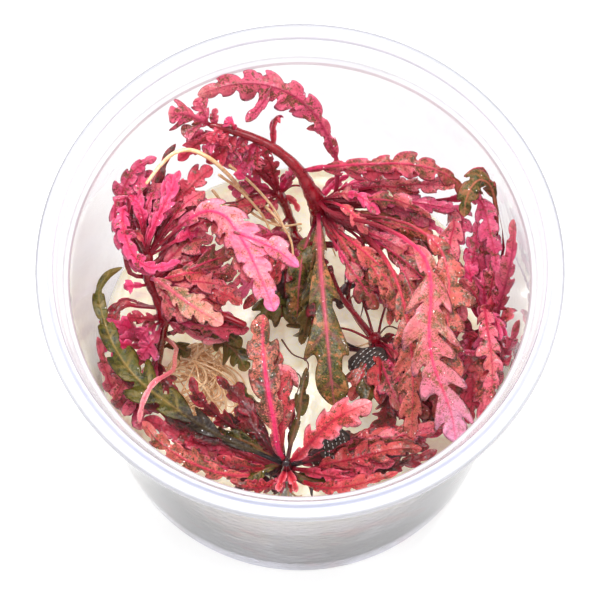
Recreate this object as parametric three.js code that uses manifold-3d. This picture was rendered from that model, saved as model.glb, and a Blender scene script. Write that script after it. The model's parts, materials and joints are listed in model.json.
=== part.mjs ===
// Lobed water plants in a round culture cup, in millimetres. +Z is up, +Y is the far side.
// The origin is the middle of the cup's base, on the surface that it stands on.
import * as THREE from "three";
import { mergeVertices } from "three/addons/utils/BufferGeometryUtils.js";
import Module from "manifold-3d";

const solids = await Module();
solids.setup();

// The cup
const CUP_HEIGHT = 76.8;
const RIM_RADIUS = 50;
const MOUTH_RADIUS = 46.6;
const SHOULDER_RADIUS = 44;
const BASE_RADIUS = 41.3;
const SHOULDER_DROP = 6.5;
const WALL = 0.8;
const CUP_SIDES = 40;

// The jelly
const JELLY_TOP = 22;
const GAP = 0.3;
const STALK_GAP = 0.75;

// The place from which the leaves were laid out, seen from the middle of the cup's mouth
const EYE_BACK = 166.3;
const EYE_ABOVE_MOUTH = 440.9;
const EYE = new THREE.Vector3(0, -EYE_BACK, CUP_HEIGHT + EYE_ABOVE_MOUTH);

// Leaves and stems
const STALK_HALF_WIDTH = 0.5;
const LEAF_HALF_THICKNESS = 0.36;
const NOTCH_SHARE = 0.6;
const LOBE_LEAN = 0.55;
const EDGE_DROOP = 0.14;
const STEM_SIDES = 6;
const STALK_STATIONS_PER_SHARE = 8;

const TONES = {
  pink: 0xf0709a,
  rose: 0xd9557f,
  magenta: 0xc03468,
  crimson: 0xa81e40,
  coral: 0xe8636f,
  salmon: 0xdd8177,
  pale: 0xe9a09a,
  olive: 0x7d6a3a,
  green: 0x4c5a1e,
  dark: 0x3a2a22,
  maroon: 0x6a1c30,
  stem: 0x96142d,
  root: 0xcda578,
  jelly: 0xebe6cd,
  cup: 0xeceef4,
};

// The point that lies behind (across, along) on the plane of the cup's mouth, at a given height
function sight([across, along, height]) {
  const reach = (EYE.z - height) / EYE_ABOVE_MOUTH;
  return new THREE.Vector3(across * reach, (along + EYE_BACK) * reach - EYE_BACK, height);
}

function finish(tone, roughness = 0.4) {
  return new THREE.MeshStandardMaterial({ color: TONES[tone], roughness, metalness: 0 });
}

// A closed body through rings of points, with a flat end at the base and a flat or pointed far end
function loft(rings, tip) {
  const count = rings[0].length;
  const points = rings.flat();
  const faces = [];
  const face = (a, b, c) => faces.push(a, b, c);
  for (let ring = 0; ring + 1 < rings.length; ring += 1) {
    for (let side = 0; side < count; side += 1) {
      const next = (side + 1) % count;
      const a = ring * count + side;
      const b = ring * count + next;
      const c = b + count;
      const d = a + count;
      if (side % 2 === 0) {
        face(a, b, c);
        face(a, c, d);
      } else {
        face(a, b, d);
        face(b, c, d);
      }
    }
  }
  for (let side = 1; side + 1 < count; side += 1) face(0, side + 1, side);
  const last = (rings.length - 1) * count;
  if (tip) {
    points.push(tip);
    for (let side = 0; side < count; side += 1) {
      face(last + side, last + ((side + 1) % count), points.length - 1);
    }
  } else {
    for (let side = 1; side + 1 < count; side += 1) face(last, last + side, last + side + 1);
  }
  const shape = new THREE.BufferGeometry();
  shape.setAttribute("position", new THREE.Float32BufferAttribute(points.flatMap((p) => [p.x, p.y, p.z]), 3));
  shape.setIndex(faces);
  return facingOut(shape);
}

// Turns every face over when the body is inside out
function facingOut(shape) {
  const place = shape.getAttribute("position");
  const index = shape.getIndex().array;
  const [a, b, c] = [new THREE.Vector3(), new THREE.Vector3(), new THREE.Vector3()];
  let volume = 0;
  for (let at = 0; at < index.length; at += 3) {
    a.fromBufferAttribute(place, index[at]);
    b.fromBufferAttribute(place, index[at + 1]);
    c.fromBufferAttribute(place, index[at + 2]);
    volume += a.dot(b.cross(c));
  }
  if (volume < 0) {
    for (let at = 0; at < index.length; at += 3) {
      [index[at], index[at + 1]] = [index[at + 1], index[at]];
    }
  }
  return shape;
}

function toSolid(shape) {
  const bare = shape.clone();
  bare.deleteAttribute("normal");
  bare.deleteAttribute("uv");
  const merged = mergeVertices(bare, 1e-4);
  return new solids.Manifold(new solids.Mesh({
    numProp: 3,
    vertProperties: new Float32Array(merged.getAttribute("position").array),
    triVerts: new Uint32Array(merged.getIndex().array),
  }));
}

// One body made of several that grow into each other
function joined(shapes) {
  const body = shapes.map(toSolid).reduce((all, next) => all.add(next));
  const mesh = body.getMesh();
  const shape = new THREE.BufferGeometry();
  shape.setAttribute("position", new THREE.BufferAttribute(mesh.vertProperties, 3));
  shape.setIndex(new THREE.BufferAttribute(mesh.triVerts, 1));
  return shape;
}

// A stem through points [across, along, height, radius]
function makeStem(points) {
  const curve = new THREE.CatmullRomCurve3(points.map(sight), false, "centripetal");
  const spans = points.length - 1;
  const radiusAt = (t) => {
    const span = Math.min(Math.floor(t * spans), spans - 1);
    return THREE.MathUtils.lerp(points[span][3], points[span + 1][3], t * spans - span);
  };
  return { curve, spans, radiusAt };
}

function stemShape(stem, stepsASpan = 2) {
  const steps = stem.spans * stepsASpan;
  const rings = [];
  const across = new THREE.Vector3(1, 0, 0);
  for (let step = 0; step <= steps; step += 1) {
    const t = step / steps;
    const centre = stem.curve.getPoint(t);
    const along = stem.curve.getTangent(t);
    if (step === 0) along.set(0, 0, 1);
    across.addScaledVector(along, -across.dot(along)).normalize();
    const up = new THREE.Vector3().crossVectors(along, across);
    const radius = stem.radiusAt(t);
    rings.push(Array.from({ length: STEM_SIDES }, (_, side) => {
      const turn = (side * 2 * Math.PI) / STEM_SIDES;
      return centre.clone()
        .addScaledVector(across, radius * Math.cos(turn))
        .addScaledVector(up, radius * Math.sin(turn));
    }));
  }
  return loft(rings);
}

// Where a stem's middle passes a height, and how thick it is there
function onStem(stem, height) {
  const samples = 240;
  let best = 0;
  for (let step = 0; step <= samples; step += 1) {
    const off = Math.abs(stem.curve.getPoint(step / samples).z - height);
    if (off < Math.abs(stem.curve.getPoint(best / samples).z - height)) best = step;
  }
  return { centre: stem.curve.getPoint(best / samples), radius: stem.radiusAt(best / samples) };
}

// How wide a leaf is along its blade, as a share of its widest
function fullness(share, widest) {
  const rise = Math.min(1, share / widest) ** 0.7;
  const fall = share > widest ? ((1 - share) / (1 - widest)) ** 0.75 : 1;
  return rise * (0.22 + 0.78 * fall);
}

// A lobed leaf: a stalk, then a blade whose edges run out into lobes and back into notches.
// It is thickest along its midrib and thin at its edges, and it faces the eye.
function leafShape(stem, height, path, form, inside = false) {
  const { left, right, lobes, stalk = 0.1, widest = 0.4, reach = {} } = form;
  const seen = path.map(sight);
  const root = onStem(stem, height);
  const away = seen[0].clone().sub(root.centre).normalize();
  const start = root.centre.clone().addScaledVector(away, inside ? 0 : root.radius + STALK_GAP);
  const curve = new THREE.CatmullRomCurve3([start, ...seen], false, "centripetal");
  const blade = (share) => stalk + (1 - stalk) * share;
  const lobeWidth = (wide, reaches, lobe) => (
    lobe < 0 ? 0 : wide * fullness((lobe + 0.5) / lobes, widest) * (reaches?.[lobe] ?? 1));
  const notchWidth = (wide, lobe) => (
    NOTCH_SHARE * Math.min(lobeWidth(wide, null, lobe - 1), lobeWidth(wide, null, lobe)));
  const station = (at, leftWide, rightWide, lean) => ({
    at,
    lean,
    leftWide: Math.max(STALK_HALF_WIDTH, leftWide),
    rightWide: Math.max(STALK_HALF_WIDTH, rightWide),
  });
  const stations = [];
  const stalkSteps = Math.max(1, Math.round(stalk * STALK_STATIONS_PER_SHARE));
  for (let step = 0; step < stalkSteps; step += 1) {
    stations.push(station((stalk * step) / stalkSteps, 0, 0, 0));
  }
  for (let lobe = 0; lobe < lobes; lobe += 1) {
    stations.push(station(blade(lobe / lobes), notchWidth(left, lobe), notchWidth(right, lobe), 0));
    stations.push(station(blade((lobe + 0.5) / lobes),
      lobeWidth(left, reach.left, lobe), lobeWidth(right, reach.right, lobe), LOBE_LEAN));
  }
  const rings = stations.map(({ at, leftWide, rightWide, lean }) => {
    const middle = curve.getPointAt(at);
    const along = curve.getTangentAt(at);
    const toEye = EYE.clone().sub(middle).normalize();
    const across = new THREE.Vector3().crossVectors(along, toEye).normalize();
    const normal = new THREE.Vector3().crossVectors(across, along).normalize();
    const edge = (sideways) => middle.clone()
      .addScaledVector(across, sideways)
      .addScaledVector(along, lean * Math.abs(sideways))
      .addScaledVector(normal, -EDGE_DROOP * Math.abs(sideways));
    return [
      middle.clone().addScaledVector(normal, LEAF_HALF_THICKNESS),
      edge(rightWide),
      middle.clone().addScaledVector(normal, -LEAF_HALF_THICKNESS),
      edge(-leftWide),
    ];
  });
  return loft(rings, curve.getPointAt(1));
}

const object = new THREE.Group();

function place(name, shape, tone, roughness) {
  const mesh = new THREE.Mesh(shape, finish(tone, roughness));
  mesh.name = name;
  object.add(mesh);
}

function leaf(name, tone, stem, height, path, form) {
  place(name, leafShape(stem, height, path, form), tone);
}

// A ring profile of [radius, height] points, turned about the cup's axis
function turned(profile) {
  const shape = new THREE.LatheGeometry(profile.map(([r, z]) => new THREE.Vector2(r, z)), CUP_SIDES);
  shape.rotateX(Math.PI / 2);
  shape.deleteAttribute("normal");
  shape.deleteAttribute("uv");
  return facingOut(mergeVertices(shape, 1e-4));
}

// The inside of the cup's wall at a height
function wallInside(height) {
  const share = (height - WALL) / (CUP_HEIGHT - SHOULDER_DROP - WALL);
  return THREE.MathUtils.lerp(BASE_RADIUS - WALL, SHOULDER_RADIUS, share);
}

function cup() {
  const shoulder = CUP_HEIGHT - SHOULDER_DROP;
  const baseCorner = 1.2;
  const outside = [
    [0, 0],
    [BASE_RADIUS - baseCorner, 0],
    [BASE_RADIUS, baseCorner],
    [SHOULDER_RADIUS + WALL, shoulder - 0.6],
    [SHOULDER_RADIUS + WALL + 0.9, shoulder],
    [MOUTH_RADIUS + WALL, CUP_HEIGHT - 1.5],
    [RIM_RADIUS - 0.8, CUP_HEIGHT - 1.3],
    [RIM_RADIUS - 0.8, CUP_HEIGHT - 2.4],
    [RIM_RADIUS, CUP_HEIGHT - 2.4],
    [RIM_RADIUS, CUP_HEIGHT - 0.9],
    [RIM_RADIUS - 0.6, CUP_HEIGHT - 0.3],
  ];
  const inside = [
    [MOUTH_RADIUS + 1, CUP_HEIGHT - 0.3],
    [MOUTH_RADIUS + 0.5, CUP_HEIGHT],
    [MOUTH_RADIUS, CUP_HEIGHT - 0.3],
    [SHOULDER_RADIUS + 0.9, shoulder + 0.7],
    [SHOULDER_RADIUS, shoulder],
    [BASE_RADIUS - WALL, WALL + 1],
    [BASE_RADIUS - WALL - 1, WALL],
    [0, WALL],
  ];
  return turned([...outside, ...inside]);
}

function jelly() {
  const floor = WALL + GAP;
  return turned([
    [0, floor],
    [wallInside(floor) - 1.6, floor],
    [wallInside(floor + 1.4) - GAP, floor + 1.4],
    [wallInside(JELLY_TOP) - GAP, JELLY_TOP + 1.2],
    [wallInside(JELLY_TOP) - 1.6, JELLY_TOP],
    [0, JELLY_TOP],
  ]);
}

const FOOT = JELLY_TOP + GAP;

const mainStem = makeStem([
  [3.2, 2.1, FOOT, 1.9], [3.4, 6, 33, 1.7], [3.5, 10.2, 44, 2], [3.2, 12.2, 48, 2.2],
  [1.7, 15, 51.5, 1.6], [0.2, 18, 54.5, 1.3], [-2.8, 21.4, 58, 1.1], [-6.5, 24.1, 61, 1],
  [-10.5, 26, 63.5, 0.9], [-14, 27.2, 65.5, 0.9], [-17, 27.9, 66.5, 0.6],
]);
const backStem = makeStem([
  [-1.2, 3.6, FOOT, 1], [-1.1, 6, 29, 0.95], [-2, 9.2, 34.5, 0.95], [-3.1, 12, 38.5, 1.1],
  [-4, 13.7, 41, 1.2],
]);
const backShoot = makeStem([
  [-1.2, 6.2, 29, 0.8], [0.2, 4.2, 31.5, 0.8], [3, 3.4, 32.8, 0.8], [6.5, 3.3, 33.6, 0.8],
  [9.8, 2.4, 34.6, 0.75], [12.8, 1.2, 35.4, 0.6],
]);
const leftStem = makeStem([
  [-27.2, -24.4, FOOT, 1.2], [-26.4, -18, 33, 1.2], [-25.6, -12.8, 42, 1.3], [-25.4, -10.3, 45.5, 1.7],
  [-27, -6.8, 48.8, 1.1], [-28.6, -3.2, 51.8, 1.1], [-29, 0.8, 54.5, 1.5],
]);
const leftShoot = makeStem([
  [-25, -10.6, 45.2, 0.9], [-20.5, -10.7, 46, 0.9], [-15, -10.8, 45, 0.9], [-10.6, -12.6, 42.6, 0.8],
]);
const frontStem = makeStem([
  [-2.7, -45.3, FOOT, 1.5], [-2.6, -42.4, 34, 1.5], [-2.5, -40.4, 41, 1.8], [-2.5, -39.4, 45, 1.9],
]);
const middleStem = makeStem([
  [13.9, -18.8, FOOT, 1.3], [14, -16.8, 29, 1.4], [14, -15.4, 34.5, 1.6],
]);
const middleShoots = [
  makeStem([[14, -15.6, 34, 0.7], [10.6, -11, 37.5, 0.65], [7.4, -6.4, 41, 0.6], [5.9, -2.4, 44, 0.5]]),
  makeStem([[13.6, -15.8, 33, 0.6], [9.6, -9.4, 34.5, 0.6], [9, -6, 36, 0.55], [10.2, -2.4, 38.5, 0.5],
    [12.6, 2, 41.5, 0.5]]),
];
const rightStem = makeStem([
  [32.2, -18.8, FOOT, 1.2], [33.4, -16, 33, 1.2], [34.6, -13.4, 43, 1.4], [34.9, -12.8, 46.5, 1.5],
]);

function stems() {
  place("main_stem", joined([
    stemShape(mainStem),
    leafShape(mainStem, 60, [[-5.2, 26, 61.5], [-5, 28.2, 63.5], [-4.5, 29.3, 64.3], [-3.8, 28.4, 64.5]],
      { left: 0.7, right: 0.7, lobes: 2 }, true),
    leafShape(mainStem, 46, [[4.6, 13.6, 48], [6, 15.2, 49], [8, 16.8, 50.5], [9.4, 17.6, 51.5]],
      { left: 0.9, right: 0.9, lobes: 3 }, true),
    leafShape(mainStem, 64.4, [[-13.2, 24.5, 63.5], [-15, 22.3, 61.5], [-18, 20.2, 59.5]],
      { left: 2.6, right: 2.4, lobes: 3 }, true),
    leafShape(mainStem, 63.4, [[-11.3, 23.6, 61.5], [-12.4, 21.4, 59.5], [-14.6, 19.4, 57.5]],
      { left: 2.2, right: 2.2, lobes: 3 }, true),
    leafShape(mainStem, 66.2, [[-16.6, 29.6, 67.5], [-16.2, 31.6, 68.5]],
      { left: 1.2, right: 1.2, lobes: 2 }, true),
    leafShape(mainStem, 62, [[-9.4, 23, 60.5], [-9.8, 20.6, 58.5], [-11, 18, 56]],
      { left: 1.9, right: 1.9, lobes: 3, widest: 0.5 }, true),
    leafShape(mainStem, 45, [[5.6, 6.6, 46.4], [8.6, 3.6, 47.4], [10.4, 0.6, 47.2], [11, -2.8, 46]],
      { left: 1.7, right: 1.8, lobes: 3, stalk: 0.25, widest: 0.5 }, true),
  ]), "stem", 0.3);
  place("back_stem", joined([
    stemShape(backStem),
    stemShape(backShoot),
    leafShape(backStem, 40.6, [[-3.2, 15.8, 42.5], [-2.2, 17.2, 44], [-0.9, 18, 45.5]],
      { left: 1.3, right: 1.3, lobes: 2, widest: 0.5 }, true),
    leafShape(backStem, 40, [[-2, 12.8, 39.5], [-0.8, 11.5, 38.8], [-0.3, 10, 38]],
      { left: 1, right: 0.8, lobes: 2 }, true),
    leafShape(backStem, 40.8, [[-7, 14.1, 40.8], [-10.4, 14.7, 41.6], [-13.8, 15.2, 42.2]],
      { left: 1.3, right: 1.3, lobes: 3, widest: 0.6 }, true),
    leafShape(backShoot, 31.5, [[0.4, 1.4, 32], [-1, -2.6, 33.4], [-2.6, -6.2, 34.6], [-4, -9, 34.8]],
      { left: 2.4, right: 2.4, lobes: 3, stalk: 0.2, widest: 0.5 }, true),
  ]), "stem", 0.3);
  place("left_stem", joined([
    stemShape(leftStem),
    stemShape(leftShoot),
    leafShape(leftStem, 53.5, [[-30.3, 6, 56], [-30.7, 12, 58.2], [-29.9, 16.2, 59.8], [-28.2, 18.6, 60.8]],
      { left: 2.1, right: 2, lobes: 4, stalk: 0.2, widest: 0.6 }, true),
    leafShape(leftStem, 54.4, [[-28.6, 4.4, 60.4], [-26.2, 10.6, 64], [-24.2, 15, 65], [-23, 18.6, 65]],
      { left: 1.7, right: 1.7, lobes: 4, stalk: 0.25, widest: 0.6 }, true),
    leafShape(leftStem, 45.6, [[-27.8, -11.6, 46.2], [-29, -14, 45], [-29.3, -17.4, 43]],
      { left: 1.6, right: 1.7, lobes: 3, stalk: 0.25 }, true),
    leafShape(leftStem, 46.5, [[-29.8, -9, 46.8], [-33, -8.8, 47], [-34.5, -11, 46.6], [-34.2, -15, 45.4]],
      { left: 1.3, right: 1.5, lobes: 3, stalk: 0.4 }, true),
  ]), "stem", 0.3);
  place("front_stem", joined([
    stemShape(frontStem),
    leafShape(frontStem, 40.6, [[-8, -38.9, 40.6], [-14, -37, 42.4], [-20, -35.4, 44.6], [-25.6, -32.4, 46]],
      { left: 2.1, right: 2, lobes: 5, stalk: 0.3, widest: 0.5 }, true),
    leafShape(frontStem, 44, [[-1.6, -35.4, 45.2], [-0.9, -31, 45.6], [-1, -27, 45.4], [-2, -23.6, 44.8]],
      { left: 1.1, right: 1.1, lobes: 3, stalk: 0.2 }, true),
    leafShape(frontStem, 42, [[-3.4, -42.8, 44], [-4, -44.9, 45.6]],
      { left: 1.2, right: 1.2, lobes: 2 }, true),
    leafShape(frontStem, 42, [[-1.2, -42.8, 43.4], [-0.6, -45, 44.8]],
      { left: 1.2, right: 1.2, lobes: 2 }, true),
    leafShape(frontStem, 43.4, [[1.5, -38.6, 43], [5, -38.2, 42.6], [9.4, -38.8, 41.6]],
      { left: 2.1, right: 1.8, lobes: 3 }, true),
  ]), "dark", 0.2);
  place("middle_stem", joined([
    stemShape(middleStem),
    ...middleShoots.map((shoot) => stemShape(shoot)),
    leafShape(middleStem, 34, [[13.8, -18.4, 36.5], [13.2, -21.4, 38], [12.6, -24.6, 38.6]],
      { left: 2.6, right: 2.6, lobes: 3, widest: 0.5 }, true),
    leafShape(middleShoots[1], 36.4, [[11.2, -4.6, 37], [12.6, -7, 36.6], [12.6, -9.8, 35.4]],
      { left: 1.8, right: 1.8, lobes: 2, stalk: 0.15, widest: 0.5 }, true),
    leafShape(middleStem, 34, [[16.4, -18, 36], [18, -22.4, 38.8], [19.6, -27.8, 41.4], [22, -33, 43]],
      { left: 2.5, right: 2.6, lobes: 4, stalk: 0.15, widest: 0.5 }, true),
  ]), "stem", 0.3);
  place("right_stem", joined([
    stemShape(rightStem),
    leafShape(rightStem, 45.6, [[34.8, -16, 50], [33.8, -18.2, 52.6], [31, -18.1, 53.6], [27.8, -17.9, 53.8]],
      { left: 0.6, right: 0.6, lobes: 2, stalk: 0.7 }, true),
    leafShape(rightStem, 40, [[31.4, -15.4, 40], [27.4, -18.8, 42.4], [25.6, -24.8, 43.8], [24.8, -31, 42.6]],
      { left: 2.4, right: 2.3, lobes: 4, stalk: 0.3, widest: 0.5 }, true),
  ]), "stem", 0.3);
}

function mainLeaves() {
  leaf("arching_leaf", "rose", mainStem, 47,
    [[5.4, 12, 49], [6.7, 13.8, 51], [7.1, 16.6, 53.4], [7.1, 20, 56.4], [6.3, 23, 59], [4.9, 26.6, 62],
      [2.9, 30.2, 65], [0.3, 33, 67.4], [-3.2, 35.3, 69], [-7.2, 36.6, 69.8], [-11.5, 36.8, 70.3],
      [-15.5, 36, 70.5], [-19.8, 34.3, 70]],
    { left: 3.6, right: 2.5, lobes: 9, stalk: 0.17, widest: 0.62,
      reach: { left: [1, 1, 1, 1, 1, 2.1, 1.2, 1, 1] } });
  leaf("top_right_leaf", "rose", mainStem, 55,
    [[1.8, 18.7, 57.5], [5, 19.3, 60.2], [9, 19.7, 62], [14, 19.9, 63.5], [19, 20, 64.4],
      [23.5, 19.4, 64.4], [27.4, 18, 63], [30.2, 15.6, 61], [31, 12.6, 58.8]],
    { left: 2.2, right: 2.6, lobes: 7, stalk: 0.06, widest: 0.55 });
  leaf("serrated_leaf", "magenta", mainStem, 44.3,
    [[6.8, 11.1, 45.8], [9, 12.2, 48.5], [11.6, 12.7, 51], [13.4, 14.2, 53.5], [15.6, 16.2, 56]],
    { left: 2, right: 2, lobes: 5, stalk: 0.35 });
  leaf("wide_right_leaf", "magenta", mainStem, 42.5,
    [[9, 10.9, 44.5], [15, 11.3, 47.5], [21, 11.6, 51], [27, 12.4, 55], [31.3, 13, 58.6], [33.8, 12.8, 61.2],
      [35.2, 10.2, 62], [36, 6, 61.5], [36.8, 1, 59.6], [37, -2.6, 57.8]],
    { left: 2.8, right: 2.6, lobes: 5, stalk: 0.55, widest: 0.45 });
  leaf("magenta_leaf", "magenta", mainStem, 40.5,
    [[8.6, 9.6, 42.5], [14, 9.9, 45.4], [19, 9.5, 48.6], [22.4, 8.6, 50.8], [25, 7.2, 52.4], [27.6, 5.4, 53]],
    { left: 2, right: 1.9, lobes: 5, stalk: 0.4 });
  leaf("hot_lobed_leaf", "rose", mainStem, 38.5,
    [[8, 8.2, 39.5], [15, 8.9, 42.5], [22, 10.3, 47], [27.4, 10.4, 52], [29.2, 8, 55.6], [28.4, 4, 57.4],
      [28, 0, 57.8], [28.6, -4, 57.2], [29.6, -8, 56.2], [30.8, -12, 54.8]],
    { left: 2.7, right: 2.7, lobes: 6, stalk: 0.45, widest: 0.45 });
  leaf("feature_leaf", "pale", mainStem, 49.5,
    [[5.8, 9.8, 51.6], [10, 8.6, 55], [15, 7.2, 58.4], [20, 4.5, 61], [23.2, 1.2, 62.6], [24.5, -3, 63.2],
      [24.5, -8, 63], [24.1, -14, 62.2], [24.6, -19.5, 61], [26.3, -25, 59.2], [27.9, -30, 57],
      [28.7, -35.6, 54.4]],
    { left: 5.6, right: 5.2, lobes: 6, stalk: 0.4, widest: 0.35 });
  leaf("long_narrow_leaf", "coral", mainStem, 46.5,
    [[7.4, 8.4, 48.4], [11, 6.6, 50.6], [14.5, 2.8, 52.8], [16.8, -0.8, 54.2], [18.5, -5, 55],
      [19.7, -9.5, 55], [20.4, -14.5, 54.4], [20.9, -21, 52.6], [20.8, -28, 50.2], [20.4, -34.8, 47.4]],
    { left: 3, right: 3.6, lobes: 7, stalk: 0.4, widest: 0.5 });
  leaf("salmon_leaf", "salmon", mainStem, 42.4,
    [[7.6, 7.6, 43.8], [11.2, 5.9, 45], [13.6, 3, 46], [15, -1, 46.8], [16.2, -5, 46.8], [16.9, -9, 46],
      [16.7, -12.8, 45]],
    { left: 2.3, right: 2.3, lobes: 5, stalk: 0.3, widest: 0.45 });
  leaf("wide_salmon_leaf", "salmon", mainStem, 40,
    [[8, 7, 41.6], [12.4, 6.8, 44.6], [17.4, 5.4, 48.8], [20.2, 2, 50.8], [21.6, -2, 51.2], [22.5, -6, 50.6],
      [22.8, -11, 49]],
    { left: 3.4, right: 3.4, lobes: 5, stalk: 0.4, widest: 0.4 });
  leaf("olive_leaf", "olive", mainStem, 36.5,
    [[8, 6.8, 37.4], [14.4, 7, 39.4], [19.6, 8, 42.6], [22.6, 6.6, 44.8], [24, 4, 45.6], [24.8, 1, 45.4]],
    { left: 2.1, right: 2.1, lobes: 3, stalk: 0.55, widest: 0.4 });
  leaf("long_central_leaf", "olive", mainStem, 45.6,
    [[3.6, 7, 49], [3.7, 3.4, 51.6], [3.9, -1, 53.8], [4.3, -6.5, 55], [4.8, -12, 55.2], [5.3, -18, 54.2],
      [5.8, -23.5, 52.2], [6.4, -28.6, 49]],
    { left: 5.8, right: 5, lobes: 5, stalk: 0.2, widest: 0.7 });
  leaf("shoot_leaf", "rose", mainStem, 66.5,
    [[-19.2, 29, 69], [-21.9, 30.2, 71.2], [-25.4, 30.5, 73]],
    { left: 2.8, right: 3.4, lobes: 3, stalk: 0.16, widest: 0.3 });
  leaf("shoot_drop_leaf", "crimson", mainStem, 65.8,
    [[-17.4, 25.4, 65.2], [-19.6, 24.2, 64.2], [-21.4, 22.4, 62.8], [-23.4, 20.6, 61.4]],
    { left: 1.9, right: 1.9, lobes: 3, stalk: 0.15 });
}

function backLeaves() {
  leaf("back_rising_leaf", "rose", backStem, 40.6,
    [[-4.7, 16.6, 45], [-5.5, 19.6, 49], [-7, 22.4, 53]],
    { left: 2, right: 1.9, lobes: 4, stalk: 0.2 });
  leaf("back_crimson_leaf", "crimson", backStem, 40.9,
    [[-5.8, 16, 43.8], [-8.8, 19, 47], [-11.5, 20.6, 50], [-15, 20.8, 52.6]],
    { left: 2.5, right: 2.6, lobes: 5, stalk: 0.2, widest: 0.6 });
  leaf("back_green_leaf", "olive", backStem, 38.8,
    [[-7.6, 12, 41], [-11.6, 10.6, 43.2], [-15.4, 9.2, 44]],
    { left: 1.9, right: 1.9, lobes: 4, stalk: 0.2 });
  leaf("back_rose_leaf", "magenta", backStem, 34.5,
    [[-5.6, 4.6, 39], [-8.4, -0.4, 41.4], [-9.8, -4.6, 43.4], [-12.2, -7.6, 43.4]],
    { left: 2.6, right: 2.6, lobes: 4, stalk: 0.3 });
}

function leftLeaves() {
  leaf("outer_arch_leaf", "pink", leftStem, 54.2,
    [[-31.6, 4.6, 57], [-33.2, 9.4, 60], [-33.8, 13.8, 62.4], [-32.4, 17.6, 64], [-29.9, 20.2, 65],
      [-27.4, 21.2, 65]],
    { left: 1.9, right: 2, lobes: 6, stalk: 0.15, widest: 0.5 });
  leaf("spear_leaf", "maroon", leftStem, 54.8,
    [[-28.7, 6.6, 58], [-27.4, 13, 60], [-26.5, 18, 61.8], [-25.4, 21.6, 62.6], [-23.8, 24.1, 62.8]],
    { left: 1.1, right: 1.1, lobes: 2, stalk: 0.5 });
  leaf("wide_crimson_leaf", "crimson", leftStem, 54,
    [[-26.2, 6, 56.2], [-23.8, 11.2, 58.2], [-21, 15, 59.8], [-18.4, 17.8, 60.4], [-16.6, 19, 60.2]],
    { left: 3, right: 2.9, lobes: 5, stalk: 0.2, widest: 0.6 });
  leaf("big_pink_leaf", "pink", leftStem, 53,
    [[-25.8, 1.4, 53.6], [-24.2, 5, 55.8], [-21.4, 8.3, 59], [-17.6, 10.2, 61.4],
      [-14.3, 9.2, 62.4], [-12, 6.2, 62.4], [-9.8, 2.3, 61.6], [-7.9, -2, 60.4], [-6.2, -6, 59],
      [-4.8, -10, 57.4]],
    { left: 4.3, right: 4.4, lobes: 8, stalk: 0.26, widest: 0.42,
      reach: { left: [1, 1, 1, 1.2, 2.4, 1, 1, 1] } });
  leaf("rose_leaf", "rose", leftStem, 51.6,
    [[-26, -0.6, 51.6], [-24, 2.8, 52.4], [-21, 5.3, 54.2], [-17.8, 6.2, 53.8]],
    { left: 2, right: 2, lobes: 4, stalk: 0.25, widest: 0.5 });
  leaf("low_rose_leaf", "crimson", leftStem, 50.4,
    [[-25, 0.4, 50.2], [-21.5, 2, 50.8], [-18.2, 2.6, 50.6]],
    { left: 1.6, right: 1.6, lobes: 4, stalk: 0.25 });
  leaf("curled_pink_leaf", "pink", leftStem, 51.8,
    [[-31.8, -2.6, 53.6], [-33.2, 2.4, 58.2], [-33.6, 7.4, 62.6], [-33.6, 10.6, 65.8], [-33.6, 7.6, 67.2],
      [-32.5, 3.6, 65.8], [-30.8, 0.4, 64.6], [-28.3, -1.2, 62.8], [-25.2, -0.9, 61], [-22.6, 0.1, 59.6]],
    { left: 2, right: 1.9, lobes: 8, stalk: 0.36, widest: 0.35 });
  leaf("speckled_pale_leaf", "pale", leftStem, 51.8,
    [[-27, -3.8, 53.4], [-24.5, -5.6, 54.6], [-21.5, -7.9, 54.8], [-18, -10.3, 54.4], [-14.4, -12.5, 53.4]],
    { left: 3, right: 2.9, lobes: 5, widest: 0.5 });
  leaf("pale_curved_leaf", "pale", leftStem, 43.4,
    [[-22.4, -12.9, 42.6], [-19, -15.2, 41.6], [-16, -15.9, 41], [-13, -15.2, 40.4]],
    { left: 1, right: 1, lobes: 3, stalk: 0.3 });
  leaf("dark_left_leaf", "green", leftStem, 39,
    [[-20.6, -13.6, 37.4], [-15.4, -15.4, 36.6], [-12, -18, 36], [-10, -21.8, 35]],
    { left: 3, right: 3, lobes: 4, stalk: 0.35, widest: 0.5 });
  leaf("brown_leaf", "salmon", leftStem, 49.2,
    [[-24.4, -1, 47.8], [-20.4, 0.2, 47.8], [-16.4, 1.6, 47.4]],
    { left: 2.2, right: 2.2, lobes: 3, stalk: 0.2 });
  leaf("coral_side_leaf", "coral", leftStem, 47.8,
    [[-22.8, -4.8, 48.6], [-18, -5.2, 48.8], [-14.2, -6.6, 48.4], [-10.8, -8.6, 47.4]],
    { left: 2.4, right: 2.4, lobes: 4, stalk: 0.2, widest: 0.5 });
  leaf("left_wall_leaf", "rose", leftStem, 31,
    [[-29, -28, 35.6], [-32.2, -28.4, 41], [-34.9, -24.8, 46.4], [-36.6, -20.2, 50],
      [-37.8, -15, 52.6]],
    { left: 1.6, right: 2.2, lobes: 5, stalk: 0.25, widest: 0.5 });
  leaf("pale_strip_leaf", "pale", leftStem, 38.4,
    [[-23.2, -16.8, 41.6], [-23.3, -19.2, 47.5], [-23.4, -21.4, 52], [-25, -22.6, 56.4],
      [-27.2, -24.2, 58.4], [-29, -27.8, 59], [-29.7, -32, 58]],
    { left: 0.8, right: 0.8, lobes: 3, stalk: 0.55 });
}

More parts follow.
